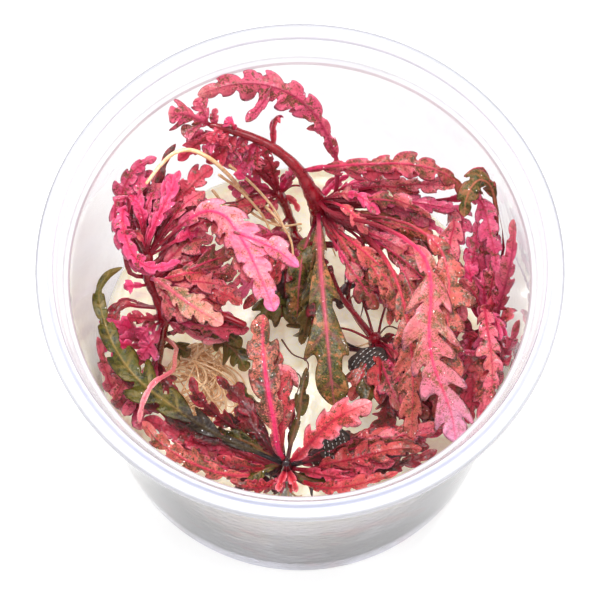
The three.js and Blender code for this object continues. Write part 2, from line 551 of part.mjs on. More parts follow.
function frontLeaves() {
  leaf("spotted_leaf", "salmon", frontStem, 43.8,
    [[-4.1, -36.4, 48.8], [-4.8, -31.5, 53], [-5.8, -26, 55.4], [-6.6, -20.5, 56.4], [-7, -15, 56.2],
      [-6.8, -10.6, 54.8]],
    { left: 3.7, right: 3.3, lobes: 7, stalk: 0.1, widest: 0.5,
      reach: { right: [0.6, 0.8, 0.9, 1.5, 1, 1, 1] } });
  leaf("coral_leaf", "coral", frontStem, 43.8,
    [[0.3, -37.4, 48.6], [3.4, -33.9, 53.4], [6.4, -31.1, 56], [9.7, -29.2, 57.6], [13.3, -27.8, 57.8]],
    { left: 3.4, right: 3.8, lobes: 5, stalk: 0.08, widest: 0.55 });
  leaf("big_green_leaf", "green", frontStem, 43,
    [[-8, -37.4, 46], [-13, -35.2, 47.2], [-18, -32.4, 48.8], [-22.5, -29.3, 50.4], [-27, -26, 52],
      [-31, -22.3, 53.4], [-34.8, -16.5, 54.6], [-37, -10.5, 55.6], [-37.7, -6, 56.4], [-36.1, -2.8, 57.4],
      [-33.4, -1.2, 58]],
    { left: 3.9, right: 3.6, lobes: 9, stalk: 0.12, widest: 0.45 });
  leaf("mottled_leaf", "maroon", frontStem, 41,
    [[-8.4, -35.4, 41.6], [-13.6, -31.6, 44.6], [-17.2, -28.6, 48], [-19.4, -25.6, 50.6],
      [-20.1, -22.8, 51.8]],
    { left: 2, right: 2, lobes: 4, stalk: 0.35 });
  leaf("left_rim_leaf", "salmon", frontStem, 38,
    [[-7, -41.4, 40.6], [-12, -41.8, 43.4], [-17, -40.6, 45.8], [-22, -38.2, 47.6],
      [-26.2, -35, 48.4], [-29, -31.4, 48]],
    { left: 2.2, right: 2.6, lobes: 6, stalk: 0.15, widest: 0.55 });
  leaf("front_left_leaf", "coral", frontStem, 40.6,
    [[-4.4, -43, 42.2], [-6.8, -44.1, 45.6], [-9.6, -44, 48.4], [-12.8, -42.8, 49.2]],
    { left: 1.5, right: 1.8, lobes: 4, stalk: 0.15 });
  leaf("front_right_leaf", "coral", frontStem, 39.5,
    [[0.9, -43, 42.4], [4, -44.2, 47], [8, -44, 49.4], [12.5, -42.9, 51], [18, -41.2, 51.8]],
    { left: 1.8, right: 1.4, lobes: 6, stalk: 0.15, widest: 0.5 });
  leaf("right_spotted_leaf", "rose", frontStem, 41.4,
    [[2.4, -41, 43.4], [5, -39.6, 46.4], [9, -38.8, 48], [14, -37.4, 49.4], [18.5, -36.6, 50],
      [22.4, -36.8, 50]],
    { left: 2.7, right: 2.4, lobes: 6, stalk: 0.12, widest: 0.5 });
  leaf("low_right_leaf", "crimson", frontStem, 37,
    [[3, -42, 38.6], [9, -42, 41], [15, -40.6, 43.6], [20.5, -39, 45.4], [25.2, -37, 46.8]],
    { left: 2.2, right: 2.2, lobes: 6, stalk: 0.15, widest: 0.5 });
}

function middleLeaves() {
  leaf("maroon_leaf", "maroon", middleStem, 29,
    [[15.2, -20.6, 30.6], [16, -26, 34.6], [15.6, -30.8, 38.6], [13, -33.6, 40.8]],
    { left: 3.2, right: 3.2, lobes: 4, stalk: 0.2, widest: 0.55 });
  leaf("dark_middle_leaf", "green", middleStem, 26,
    [[9, -17.4, 27.6], [4, -15.4, 30], [0.4, -12.4, 32.6], [-2.6, -9.4, 34]],
    { left: 3, right: 3, lobes: 4, stalk: 0.35, widest: 0.55 });
}

function rightLeaves() {
  leaf("far_right_leaf", "rose", rightStem, 45.4,
    [[36.8, -10.4, 52], [38.2, -6, 59], [39.5, -1, 64.5], [40.3, 4, 68.5], [40.5, 8.6, 71.5]],
    { left: 2.2, right: 1.5, lobes: 7, stalk: 0.1, widest: 0.4 });
  leaf("right_wall_leaf", "rose", rightStem, 40.6,
    [[37.2, -15.6, 42.8], [38, -17.4, 50], [38.4, -18, 58], [39.8, -15.4, 64.6], [41, -11.6, 69]],
    { left: 1.9, right: 1.3, lobes: 4, stalk: 0.3 });
  leaf("right_rose_leaf", "rose", rightStem, 46,
    [[34.8, -9.6, 51.6], [34.6, -9.8, 56], [35, -13.4, 58.6], [35.6, -18.5, 58.8], [35.6, -24, 57.4],
      [34.2, -28.6, 55]],
    { left: 2.6, right: 2.8, lobes: 6, stalk: 0.2, widest: 0.45 });
  leaf("right_red_leaf", "crimson", rightStem, 42,
    [[32.2, -14.4, 43.8], [31.6, -17, 47.2], [32, -22, 47.6], [31.8, -27.6, 46], [31, -32, 43.8]],
    { left: 3, right: 3, lobes: 5, stalk: 0.12, widest: 0.5 });
  leaf("right_magenta_leaf", "magenta", rightStem, 44,
    [[32.8, -9.8, 46.8], [31.7, -6, 50], [32.3, -1, 52.6], [33.2, 4, 54.4], [33.6, 8.4, 55.4]],
    { left: 2.5, right: 2.5, lobes: 5, stalk: 0.1, widest: 0.5 });
  leaf("folded_green_leaf", "olive", rightStem, 46.4,
    [[36, -6, 50], [36.8, 2, 54], [37.3, 8, 58.4], [36.9, 13.4, 63], [35.8, 16, 66], [34.2, 16.6, 67.4],
      [32.7, 15.2, 67.6], [31.6, 12.5, 66.8], [31.1, 9, 65]],
    { left: 2.1, right: 1.9, lobes: 4, stalk: 0.66, widest: 0.4 });
}

// A long tan root that arches over the crimson leaves, and a low tangle of roots on the jelly
function roots() {
  place("arching_root", stemShape(makeStem([
    [0.6, 0.4, 23.4, 0.45], [-1.4, 2.4, 30.5, 0.45], [-4.2, 7.2, 33.6, 0.45], [-8, 11.2, 37.4, 0.45],
    [-11.2, 14.6, 46.5, 0.45], [-14, 18, 59.4, 0.45], [-17.5, 21.2, 65.6, 0.45], [-21, 22.8, 67.4, 0.42],
    [-24, 22.2, 67.6, 0.4], [-26.6, 19.7, 67.4, 0.38], [-29.2, 16, 66.6, 0.32],
  ])), "root", 0.5);
  const heights = [0, 4, 8.5, 12, 14];
  const spreads = [1, 1.04, 0.9, 0.6, 0.22];
  const sides = 10;
  const [wide, deep] = [8.6, 9.6];
  const middle = sight([-17.6, -25.4, FOOT]);
  const rings = heights.map((height, level) => Array.from({ length: sides }, (_, side) => {
    const turn = (side * 2 * Math.PI) / sides;
    const bulge = spreads[level] * (1 + 0.1 * Math.sin(3 * turn + level));
    return new THREE.Vector3(
      middle.x + wide * bulge * Math.cos(turn),
      middle.y + deep * bulge * Math.sin(turn),
      FOOT + height,
    );
  }));
  place("root_tangle", loft(rings), "root", 0.6);
}

place("cup", cup(), "cup", 0.35);
place("culture_jelly", jelly(), "jelly", 0.3);
stems();
mainLeaves();
backLeaves();
leftLeaves();
frontLeaves();
middleLeaves();
rightLeaves();
roots();

export default object;
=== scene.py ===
"""Lobed water plants rooted in jelly in a culture cup: the looks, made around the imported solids.

Lengths in the tables are millimetres. A place is (across, along, height): the point at that height
that lies behind (across, along) on the plane of the cup's mouth, seen from the eye.
"""
import json
import math

import bpy
import numpy as np
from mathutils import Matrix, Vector


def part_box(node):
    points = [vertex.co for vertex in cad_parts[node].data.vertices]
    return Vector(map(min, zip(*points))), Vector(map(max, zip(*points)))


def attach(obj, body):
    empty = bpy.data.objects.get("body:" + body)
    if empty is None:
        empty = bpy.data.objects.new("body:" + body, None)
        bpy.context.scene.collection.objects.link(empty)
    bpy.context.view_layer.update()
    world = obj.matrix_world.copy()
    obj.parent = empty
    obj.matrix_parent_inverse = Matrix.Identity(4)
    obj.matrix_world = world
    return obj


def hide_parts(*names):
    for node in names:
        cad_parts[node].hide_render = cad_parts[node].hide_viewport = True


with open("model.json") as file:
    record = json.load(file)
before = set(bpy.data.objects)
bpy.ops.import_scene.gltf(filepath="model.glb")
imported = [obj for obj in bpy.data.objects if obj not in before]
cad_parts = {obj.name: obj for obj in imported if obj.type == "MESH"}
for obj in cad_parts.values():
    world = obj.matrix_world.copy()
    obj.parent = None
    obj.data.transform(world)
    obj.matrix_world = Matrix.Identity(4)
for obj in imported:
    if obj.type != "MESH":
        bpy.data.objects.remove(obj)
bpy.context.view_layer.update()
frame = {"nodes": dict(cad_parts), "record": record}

SLOTS = {part["node"]: part["material_slot"] for part in frame["record"]["subparts"]}
MM = 0.001

# The corners of each leaf's and each stem's solid
REACHES = {}
for solid_name, solid in frame["nodes"].items():
    if solid_name not in ("cup", "culture_jelly", "arching_root", "root_tangle"):
        solid_corners = [solid.matrix_world @ corner.co for corner in solid.data.vertices]
        REACHES[solid_name] = np.array(solid_corners) / MM

# The cup and the jelly, from their solids and from the places of their edges
CUP_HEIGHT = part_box("cup")[1].z / MM
RIM_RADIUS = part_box("cup")[1].x / MM
MENISCUS = 1.2
JELLY_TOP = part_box("culture_jelly")[1].z / MM - MENISCUS
MOUTH_RADIUS = 46.6
SHOULDER_RADIUS = 44
SHOULDER_DROP = 6.5
BASE_RADIUS = 41.3
WALL = 0.8
FOOT = JELLY_TOP + 0.3
JELLY_SIDE = 41
SHOULDER = CUP_HEIGHT - SHOULDER_DROP

# The tints of the cup's wall and of the jelly. Colours are as the eye sees them.
LOW_WALL_SHADE_TINT = (206, 205, 221)
SIDE_WALL_SHADE_TINT = (198, 190, 196)
SHADOW_BAND_TINT = (152, 148, 158)
LEAVES_THROUGH_WALL_TINT = (206, 150, 160)
JELLY_TINTS = ((254, 248, 226), (250, 238, 202))
THREAD_TINT = (222, 192, 146)
JELLY_SIDE_TINT = (150, 136, 128)
JELLY_BLUSH_TINT = (204, 148, 140)
JELLY_SHADOW_TINT = (196, 160, 164)

# Painted light and shade along the edges of the ledge and the rim, as lines: radius, half width, tint, and
# strength at the back and in front
CUP_EDGE_LIGHT_LINES = (
    (SHOULDER_RADIUS + 0.1, 0.3, (196, 170, 176), 0.7, 0.7),
    (MOUTH_RADIUS + 0.1, 0.28, (200, 186, 194), 0.55, 0.55),
    (MOUTH_RADIUS + 0.9, 0.8, (206, 211, 238), 0.28, 0.75),
    (RIM_RADIUS - 0.9, 0.4, (220, 220, 230), 0.5, 0.5),
    (RIM_RADIUS, 0.9, (172, 172, 180), 0.95, 0.5),
)

# The eye, as the leaves were laid out from it
EYE_BACK = 166.3
EYE_ABOVE_MOUTH = 440.9
EYE = np.array([0, -EYE_BACK, CUP_HEIGHT + EYE_ABOVE_MOUTH])
EYE_TILT = math.radians(19.78)
LENS = 150
SENSOR = 36

# The leaf blades
BLADE_HALF_THICKNESS = 0.07
LOBE_LEAN = 0.62

# A lobe's outline: how far along its half base, and how far out towards its tip
PLAIN_LOBE = ((-1, 0), (-0.95, 0.34), (-0.74, 0.76), (-0.42, 0.97), (-0.04, 1.03), (0.28, 0.93), (0.44, 0.7),
              (0.5, 0.34), (1, 0))
TOOTHED_LOBE = ((-1, 0), (-1.04, 0.28), (-0.94, 0.48), (-0.72, 0.48), (-0.68, 0.76), (-0.36, 0.98), (0, 1.03),
                (0.32, 0.9), (0.46, 0.66), (0.44, 0.5), (0.6, 0.42), (0.6, 0.2), (1, 0))
BLUNT_LOBE = ((-1, 0), (-1.02, 0.42), (-0.84, 0.82), (-0.44, 1.01), (0.1, 1.03), (0.5, 0.86), (0.64, 0.5),
              (0.68, 0.24), (1, 0))
SAWN_LOBE = ((-1, 0), (-0.72, 0.28), (-0.44, 0.54), (-0.16, 0.8), (0.06, 0.98), (0.24, 1), (0.34, 0.84),
             (0.4, 0.5), (0.56, 0.2), (1, 0))
LOBE_ASPECT = 1.6

# A leaf's end: how wide it starts, as a share of its widest, and how pointed it is
END_NECK = 0.72
END_POINT = 1.4


def sight(place):
    """The point at a place, as the head of this file says"""
    across, along, height = place
    reach = (EYE[2] - height) / EYE_ABOVE_MOUTH
    return np.array([across * reach, (along + EYE_BACK) * reach - EYE_BACK, height])


def unit(vectors):
    """The vectors, each with the length of one"""
    return vectors / np.linalg.norm(vectors, axis=-1, keepdims=True)


def ease(value, low, high):
    share = np.clip((value - low) / (high - low), 0, 1)
    return share * share * (3 - 2 * share)


def smooth_line(points, steps):
    """A centripetal curve through the points, with that many steps in each span"""
    points = [np.asarray(point, float) for point in points]
    ends = [2 * points[0] - points[1], *points, 2 * points[-1] - points[-2]]
    shares = (np.arange(steps) / steps)[:, None]
    line = []
    for before, start, end, after in zip(ends, ends[1:], ends[2:], ends[3:]):
        pairs = ((before, start), (start, end), (end, after))
        first, middle, last = (np.linalg.norm(b - a) ** 0.5 for a, b in pairs)
        leave = (start - before) / first - (end - before) / (first + middle) + (end - start) / middle
        arrive = (end - start) / middle - (after - start) / (middle + last) + (after - end) / last
        leave, arrive = leave * middle, arrive * middle
        cube = 2 * start - 2 * end + leave + arrive
        square = 3 * end - 3 * start - 2 * leave - arrive
        line.append(start + shares * (leave + shares * (square + shares * cube)))
    return np.vstack([*line, points[-1][None]])


def seen_line(places, steps):
    """A curve through places"""
    return smooth_line([sight(place[:3]) for place in places], steps)


# Pieces

def make_piece(name, points, faces, coats, slot, replaces=(), coat_of_face=None, maps=None):
    """A smooth mesh that rides on the cup's body. Points are in millimetres."""
    mesh = bpy.data.meshes.new(name)
    mesh.from_pydata((np.asarray(points) * MM).tolist(), [], faces)
    for coat in coats:
        mesh.materials.append(coat)
    if coat_of_face is not None:
        mesh.polygons.foreach_set("material_index", coat_of_face)
    corners = np.empty(len(mesh.loops), np.int32)
    mesh.loops.foreach_get("vertex_index", corners)
    for map_name, values in (maps or {}).items():
        layer = mesh.uv_layers.new(name=map_name)
        layer.data.foreach_set("uv", np.asarray(values, np.float32)[corners].ravel())
    mesh.shade_smooth()
    mesh.update()
    piece = bpy.data.objects.new(name, mesh)
    bpy.context.scene.collection.objects.link(piece)
    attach(piece, "root")
    if replaces:
        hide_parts(*replaces)
    return piece


def ring_faces(rings, sides):
    """The faces between rings of points, from each ring to the next"""
    faces = []
    for base in range(0, (rings - 1) * sides, sides):
        for side in range(sides):
            after = (side + 1) % sides
            faces.append((base + side, base + after, base + after + sides, base + side + sides))
    return faces


def closed_faces(rings, sides):
    """The faces of rings that close on two more points: one before the first ring, one past the last"""
    faces = ring_faces(rings, sides)
    top = (rings - 1) * sides
    for side in range(sides):
        after = (side + 1) % sides
        faces.append((after, side, top + sides))
        faces.append((top + side, top + after, top + sides + 1))
    return faces


def tube(line, radii, sides=12):
    """Points and faces of a round tube with domed ends, and how far along and around each point is"""
    line, radii = np.asarray(line, float), np.asarray(radii, float)
    along = unit(np.gradient(line, axis=0))
    dome = (0.2, 0.6, 0.86, 0.97)
    first, last = line[0] - along[0] * radii[0], line[-1] + along[-1] * radii[-1]
    centres = [line[0] - along[0] * radii[0] * (1 - share ** 2) ** 0.5 for share in dome]
    centres += [*line]
    centres += [line[-1] + along[-1] * radii[-1] * (1 - share ** 2) ** 0.5 for share in dome[::-1]]
    sizes = [radii[0] * share for share in dome] + [*radii] + [radii[-1] * share for share in dome[::-1]]
    ways = [along[0]] * len(dome) + [*along] + [along[-1]] * len(dome)
    side_way = np.array([1.0, 0.3, 0.2])
    turns = np.arange(sides) * 2 * math.pi / sides
    rings = []
    for centre, size, way in zip(centres, sizes, ways):
        side_way = unit(side_way - way * np.dot(side_way, way))
        up = np.cross(way, side_way)
        rings.append(centre + size * (np.cos(turns)[:, None] * side_way + np.sin(turns)[:, None] * up))
    points = np.vstack([*rings, first[None], last[None]])
    run = np.repeat(np.linspace(0, 1, len(rings)), sides)
    around = np.tile(np.arange(sides) / sides, len(rings))
    maps = np.vstack([np.column_stack([run, around]), [[0, 0], [1, 0]]])
    return points, closed_faces(len(rings), sides), maps


def make_tubes(name, tubes, coat, node, kept=np.asarray):
    """Several tubes as one piece in place of the node's solid, with its points kept somewhere"""
    points, faces, maps, start = [], [], [], 0
    for some_points, some_faces, some_maps in tubes:
        points.append(some_points)
        maps.append(some_maps)
        faces.extend(tuple(corner + start for corner in face) for face in some_faces)
        start += len(some_points)
    run = np.vstack(maps)
    make_piece(name, kept(np.vstack(points)), faces, [coat], SLOTS[node], [node], maps={"UVMap": run})


def softened(profile, size, steps=4):
    """A profile whose corners are rounded over at most that size"""
    profile = [np.asarray(point, float) for point in profile]
    soft = [profile[0]]
    for before, corner, after in zip(profile, profile[1:], profile[2:]):
        back, ahead = before - corner, after - corner
        start = corner + back * min(0.45, size / np.linalg.norm(back))
        end = corner + ahead * min(0.45, size / np.linalg.norm(ahead))
        for share in np.linspace(0, 1, steps + 1):
            soft.append((1 - share) ** 2 * start + 2 * share * (1 - share) * corner + share ** 2 * end)
    return soft + [profile[-1]]


def turned(profile, sides=144):
    """Points and faces of a body turned about the cup's axis, from a profile that starts and ends on it"""
    rings = profile[1:-1]
    turns = np.arange(sides) * 2 * math.pi / sides
    points = [[radius * math.cos(turn), radius * math.sin(turn), height]
              for radius, height in rings for turn in turns]
    points += [[0, 0, profile[0][1]], [0, 0, profile[-1][1]]]
    return points, closed_faces(len(rings), sides)


# Node wiring

class Net:
    """Adds nodes to a tree. An input is a socket or a plain value."""

    def __init__(self, tree):
        self.tree = tree

    def put(self, socket, value):
        if isinstance(value, bpy.types.NodeSocket):
            self.tree.links.new(value, socket)
        else:
            socket.default_value = value

    def put_all(self, node, inputs):
        for name, value in inputs.items():
            self.put(node.inputs[name], value)

    def node(self, kind, inputs=None, **settings):
        node = self.tree.nodes.new(kind)
        for name, value in settings.items():
            setattr(node, name, value)
        self.put_all(node, inputs or {})
        return node

    def math(self, operation, first, second=0.0, clamp=False):
        node = self.node("ShaderNodeMath", {0: first, 1: second}, operation=operation, use_clamp=clamp)
        return node.outputs[0]

    def times(self, first, second):
        return self.math("MULTIPLY", first, second)

    def plus(self, first, second):
        return self.math("ADD", first, second)

    def rest(self, value):
        """What a value leaves of one"""
        return self.math("SUBTRACT", 1.0, value)

    def from_axis(self, x, y):
        return self.math("SQRT", self.plus(self.times(x, x), self.times(y, y)))

    def ease(self, value, low, high):
        inputs = {"Value": value, "From Min": low, "From Max": high}
        return self.node("ShaderNodeMapRange", inputs, interpolation_type="SMOOTHSTEP").outputs[0]

    def span(self, value, low, high):
        inputs = {"Value": value, "To Min": low, "To Max": high}
        return self.node("ShaderNodeMapRange", inputs).outputs[0]

    def mix(self, share, first, second, blend="MIX"):
        inputs = {0: share, 6: first, 7: second}
        return self.node("ShaderNodeMix", inputs, data_type="RGBA", blend_type=blend).outputs[2]

    def noise(self, place, scale, detail=2.0, roughness=0.5):
        inputs = {"Vector": place, "Scale": scale, "Detail": detail, "Roughness": roughness}
        return self.node("ShaderNodeTexNoise", inputs).outputs[0]

    def cells(self, place, scale, feature="F1"):
        inputs = {"Vector": place, "Scale": scale}
        return self.node("ShaderNodeTexVoronoi", inputs, feature=feature).outputs["Distance"]

    def place(self):
        """The point on the piece, in millimetres"""
        where = self.node("ShaderNodeTexCoord").outputs["Object"]
        return self.node("ShaderNodeVectorMath", {0: where, "Scale": 1 / MM}, operation="SCALE").outputs[0]

    def parts(self, vector):
        return self.node("ShaderNodeSeparateXYZ", {0: vector}).outputs

    def map(self, name):
        return self.parts(self.node("ShaderNodeUVMap", uv_map=name).outputs[0])


def linear(colour):
    """A colour of 0 to 255 as the eye sees it, as light"""
    shares = [part / 255 for part in colour]
    return [part / 12.92 if part <= 0.04045 else ((part + 0.055) / 1.055) ** 2.4 for part in shares] + [1]


def new_group(name, colours=(), values=(), outputs=()):
    """An empty node group, its wiring, and its input sockets by name"""
    tree = bpy.data.node_groups.new(name, "ShaderNodeTree")
    for socket in colours:
        tree.interface.new_socket(socket, in_out="INPUT", socket_type="NodeSocketColor")
    for socket, start in values:
        made = tree.interface.new_socket(socket, in_out="INPUT", socket_type="NodeSocketFloat")
        made.default_value = start
    for socket, kind in outputs:
        tree.interface.new_socket(socket, in_out="OUTPUT", socket_type=kind)
    net = Net(tree)
    return tree, net, net.node("NodeGroupInput").outputs


COLOUR = "NodeSocketColor"
VALUE = "NodeSocketFloat"


def make_leaf_paint():
    """A blade's colours: a heart, paler lobe tips, an end, mottling, specks, veins, a midrib, a painted
    highlight along its edges and painted glints
    """
    tree, net, given = new_group(
        "leaf_paint",
        colours=("Blade", "Shade", "Heart", "Tip", "End", "Rib", "Stalk", "Blotch", "Speck"),
        values=(("Heart Reach", 0.2), ("Tip Amount", 0.5), ("End Start", 0.8), ("Blotches", 0.3),
                ("Specks", 0.3), ("Vein Strength", 0.5), ("Rib Spread", 1.6), ("Heart Cover", 0.0)),
        outputs=(("Color", COLOUR), ("Stalk", VALUE)),
    )
    place = net.place()
    along = net.map("UVMap")[0]
    lobe, out, _ = net.map("vein_map")
    rib = net.map("rib_map")[0]
    broad = net.noise(place, 0.2, 2)
    mottle = net.noise(place, 1.1, 6, 0.7)
    grain = net.noise(place, 3.2, 4, 0.7)
    strayed = net.plus(along, net.times(net.math("SUBTRACT", mottle, 0.5), 0.35))

    colour = net.mix(net.ease(broad, 0.38, 0.62), given["Blade"], given["Shade"])
    heart_edge = net.math("SUBTRACT", given["Heart Reach"], 0.12)
    heart = net.rest(net.ease(strayed, heart_edge, given["Heart Reach"]))
    colour = net.mix(heart, colour, given["Heart"])
    tips = net.times(net.ease(out, 0.45, 1.0), given["Tip Amount"])
    colour = net.mix(tips, colour, given["Tip"])
    end = net.ease(strayed, given["End Start"], 1.05)
    colour = net.mix(end, colour, given["End"])
    # Painted highlight: a thin paler line along the lobes' edges, for light shining through the thin margin
    edge_highlight = net.times(net.ease(out, 0.86, 0.97), 0.45)
    colour = net.mix(edge_highlight, colour, given["Tip"])

    plain = net.rest(net.times(net.math("MAXIMUM", tips, end), 0.75))
    blotch_edge = net.math("SUBTRACT", 0.64, net.times(given["Blotches"], 0.24))
    patch = net.noise(place, 0.33, 2)
    patched = net.times(net.math("SUBTRACT", patch, 0.5), 0.7)
    blotch = net.ease(net.plus(mottle, patched), blotch_edge, net.plus(blotch_edge, 0.03))
    blotch = net.times(net.times(blotch, plain), 0.9)
    colour = net.mix(blotch, colour, given["Blotch"])
    speck_edge = net.math("SUBTRACT", 0.63, net.times(given["Specks"], 0.2))
    clustered = net.plus(grain, net.times(net.math("SUBTRACT", mottle, 0.5), 0.5))
    clustered = net.plus(clustered, net.times(patched, 0.65))
    speck = net.ease(clustered, speck_edge, net.plus(speck_edge, 0.035))
    speck = net.times(speck, plain)
    colour = net.mix(speck, colour, given["Speck"])

    off_vein = net.math("ABSOLUTE", net.math("SUBTRACT", net.math("FRACT", lobe), 0.5))
    vein = net.rest(net.ease(off_vein, 0.015, 0.075))
    vein = net.times(vein, net.rest(net.times(out, 0.9)))
    mesh = net.rest(net.ease(net.cells(place, 0.8, "DISTANCE_TO_EDGE"), 0.0, 0.09))
    vein = net.math("MAXIMUM", vein, net.times(mesh, 0.3))
    colour = net.mix(net.times(vein, given["Vein Strength"]), colour, given["Rib"])
    beside_rib = net.rest(net.ease(rib, 0.8, net.times(given["Rib Spread"], 1.9)))
    on_rib = net.rest(net.ease(rib, 0.6, given["Rib Spread"]))
    on_rib = net.math("MAXIMUM", net.times(on_rib, 0.85), net.times(beside_rib, 0.4))
    fading = net.rest(net.times(net.ease(along, 0.5, 1.0), 0.6))
    colour = net.mix(net.times(on_rib, fading), colour, given["Rib"])
    colour = net.mix(net.times(heart, given["Heart Cover"]), colour, given["Heart"])
    stalk = net.rest(net.ease(along, -0.36, 0.0))
    colour = net.mix(stalk, colour, given["Stalk"])
    # Painted glints: tiny near-white specks in the base colour, for light sparkling on the wet film
    painted_glint = net.rest(net.ease(net.cells(place, 0.8), 0.06, 0.12))
    painted_glint = net.times(painted_glint, net.ease(net.noise(place, 0.6, 2), 0.52, 0.56))
    colour = net.mix(net.times(painted_glint, 0.9), colour, (1, 0.93, 0.94, 1))
    net.node("NodeGroupOutput", {"Color": colour, "Stalk": stalk})
    return tree


def make_leaf_relief():
    """Sunken side veins, a fine net between them and a grain, as a height"""
    tree, net, given = new_group("leaf_relief", values=(("Grain", 0.3),), outputs=(("Height", VALUE),))
    place = net.place()
    lobe, out, _ = net.map("vein_map")
    off_vein = net.math("ABSOLUTE", net.math("SUBTRACT", net.math("FRACT", lobe), 0.5))
    groove = net.ease(off_vein, 0.0, 0.14)
    fine = net.ease(net.cells(place, 0.8, "DISTANCE_TO_EDGE"), 0.0, 0.3)
    grain = net.noise(place, 2.6, 3, 0.6)
    height = net.plus(net.times(groove, 0.5), net.times(fine, 0.35))
    height = net.plus(height, net.times(grain, given["Grain"]))
    net.node("NodeGroupOutput", {"Height": height})
    return tree


def make_wet_film():
    """Where water lies on a surface: how rough it is, and how much film covers it"""
    tree, net, given = new_group("wet_film", values=(("Wet", 0.16), ("Dry", 0.5)),
                                 outputs=(("Roughness", VALUE), ("Film", VALUE)))
    place = net.place()
    wet = net.ease(net.noise(place, 0.55, 3, 0.55), 0.36, 0.6)
    rough = net.node("ShaderNodeMix", {0: wet, 2: given["Dry"], 3: given["Wet"]},
                     data_type="FLOAT").outputs[0]
    net.node("NodeGroupOutput", {"Roughness": rough, "Film": net.span(wet, 0.15, 0.9)})
    return tree


def make_streaks():
    """Long streaks and a fine grain, along a stem or a root, as a mask and a height"""
    tree, net, given = new_group("streaks", values=(("Around", 8.0), ("Along", 3.0)),
                                 outputs=(("Mask", VALUE), ("Height", VALUE)))
    run, around, _ = net.map("UVMap")
    x = net.times(run, given["Along"])
    y = net.times(around, given["Around"])
    stretched = net.node("ShaderNodeCombineXYZ", {0: x, 1: y}).outputs[0]
    streak = net.noise(stretched, 1.0, 3, 0.6)
    grain = net.noise(net.place(), 1.6, 3, 0.6)
    height = net.plus(net.times(streak, 0.7), net.times(grain, 0.5))
    mask = net.ease(net.plus(net.times(streak, 0.6), net.times(grain, 0.4)), 0.35, 0.65)
    net.node("NodeGroupOutput", {"Mask": mask, "Height": height})
    return tree


LEAF_PAINT = make_leaf_paint()
LEAF_RELIEF = make_leaf_relief()
WET_FILM = make_wet_film()
STREAKS = make_streaks()


def new_material(name):
    """A material with an empty net, its surface shader and the net's wiring"""
    material = bpy.data.materials.new(name)
    material.use_nodes = True
    material.node_tree.nodes.clear()
    net = Net(material.node_tree)
    shader = net.node("ShaderNodeBsdfPrincipled")
    net.node("ShaderNodeOutputMaterial", {"Surface": shader.outputs[0]})
    return material, net, shader


def use(net, tree, values):
    """A group placed in a material, with its own values"""
    node = net.node("ShaderNodeGroup", node_tree=tree)
    net.put_all(node, values)
    return node.outputs


def bump(net, height, strength, distance_mm):
    inputs = {"Height": height, "Strength": strength, "Distance": distance_mm * MM}
    return net.node("ShaderNodeBump", inputs).outputs[0]


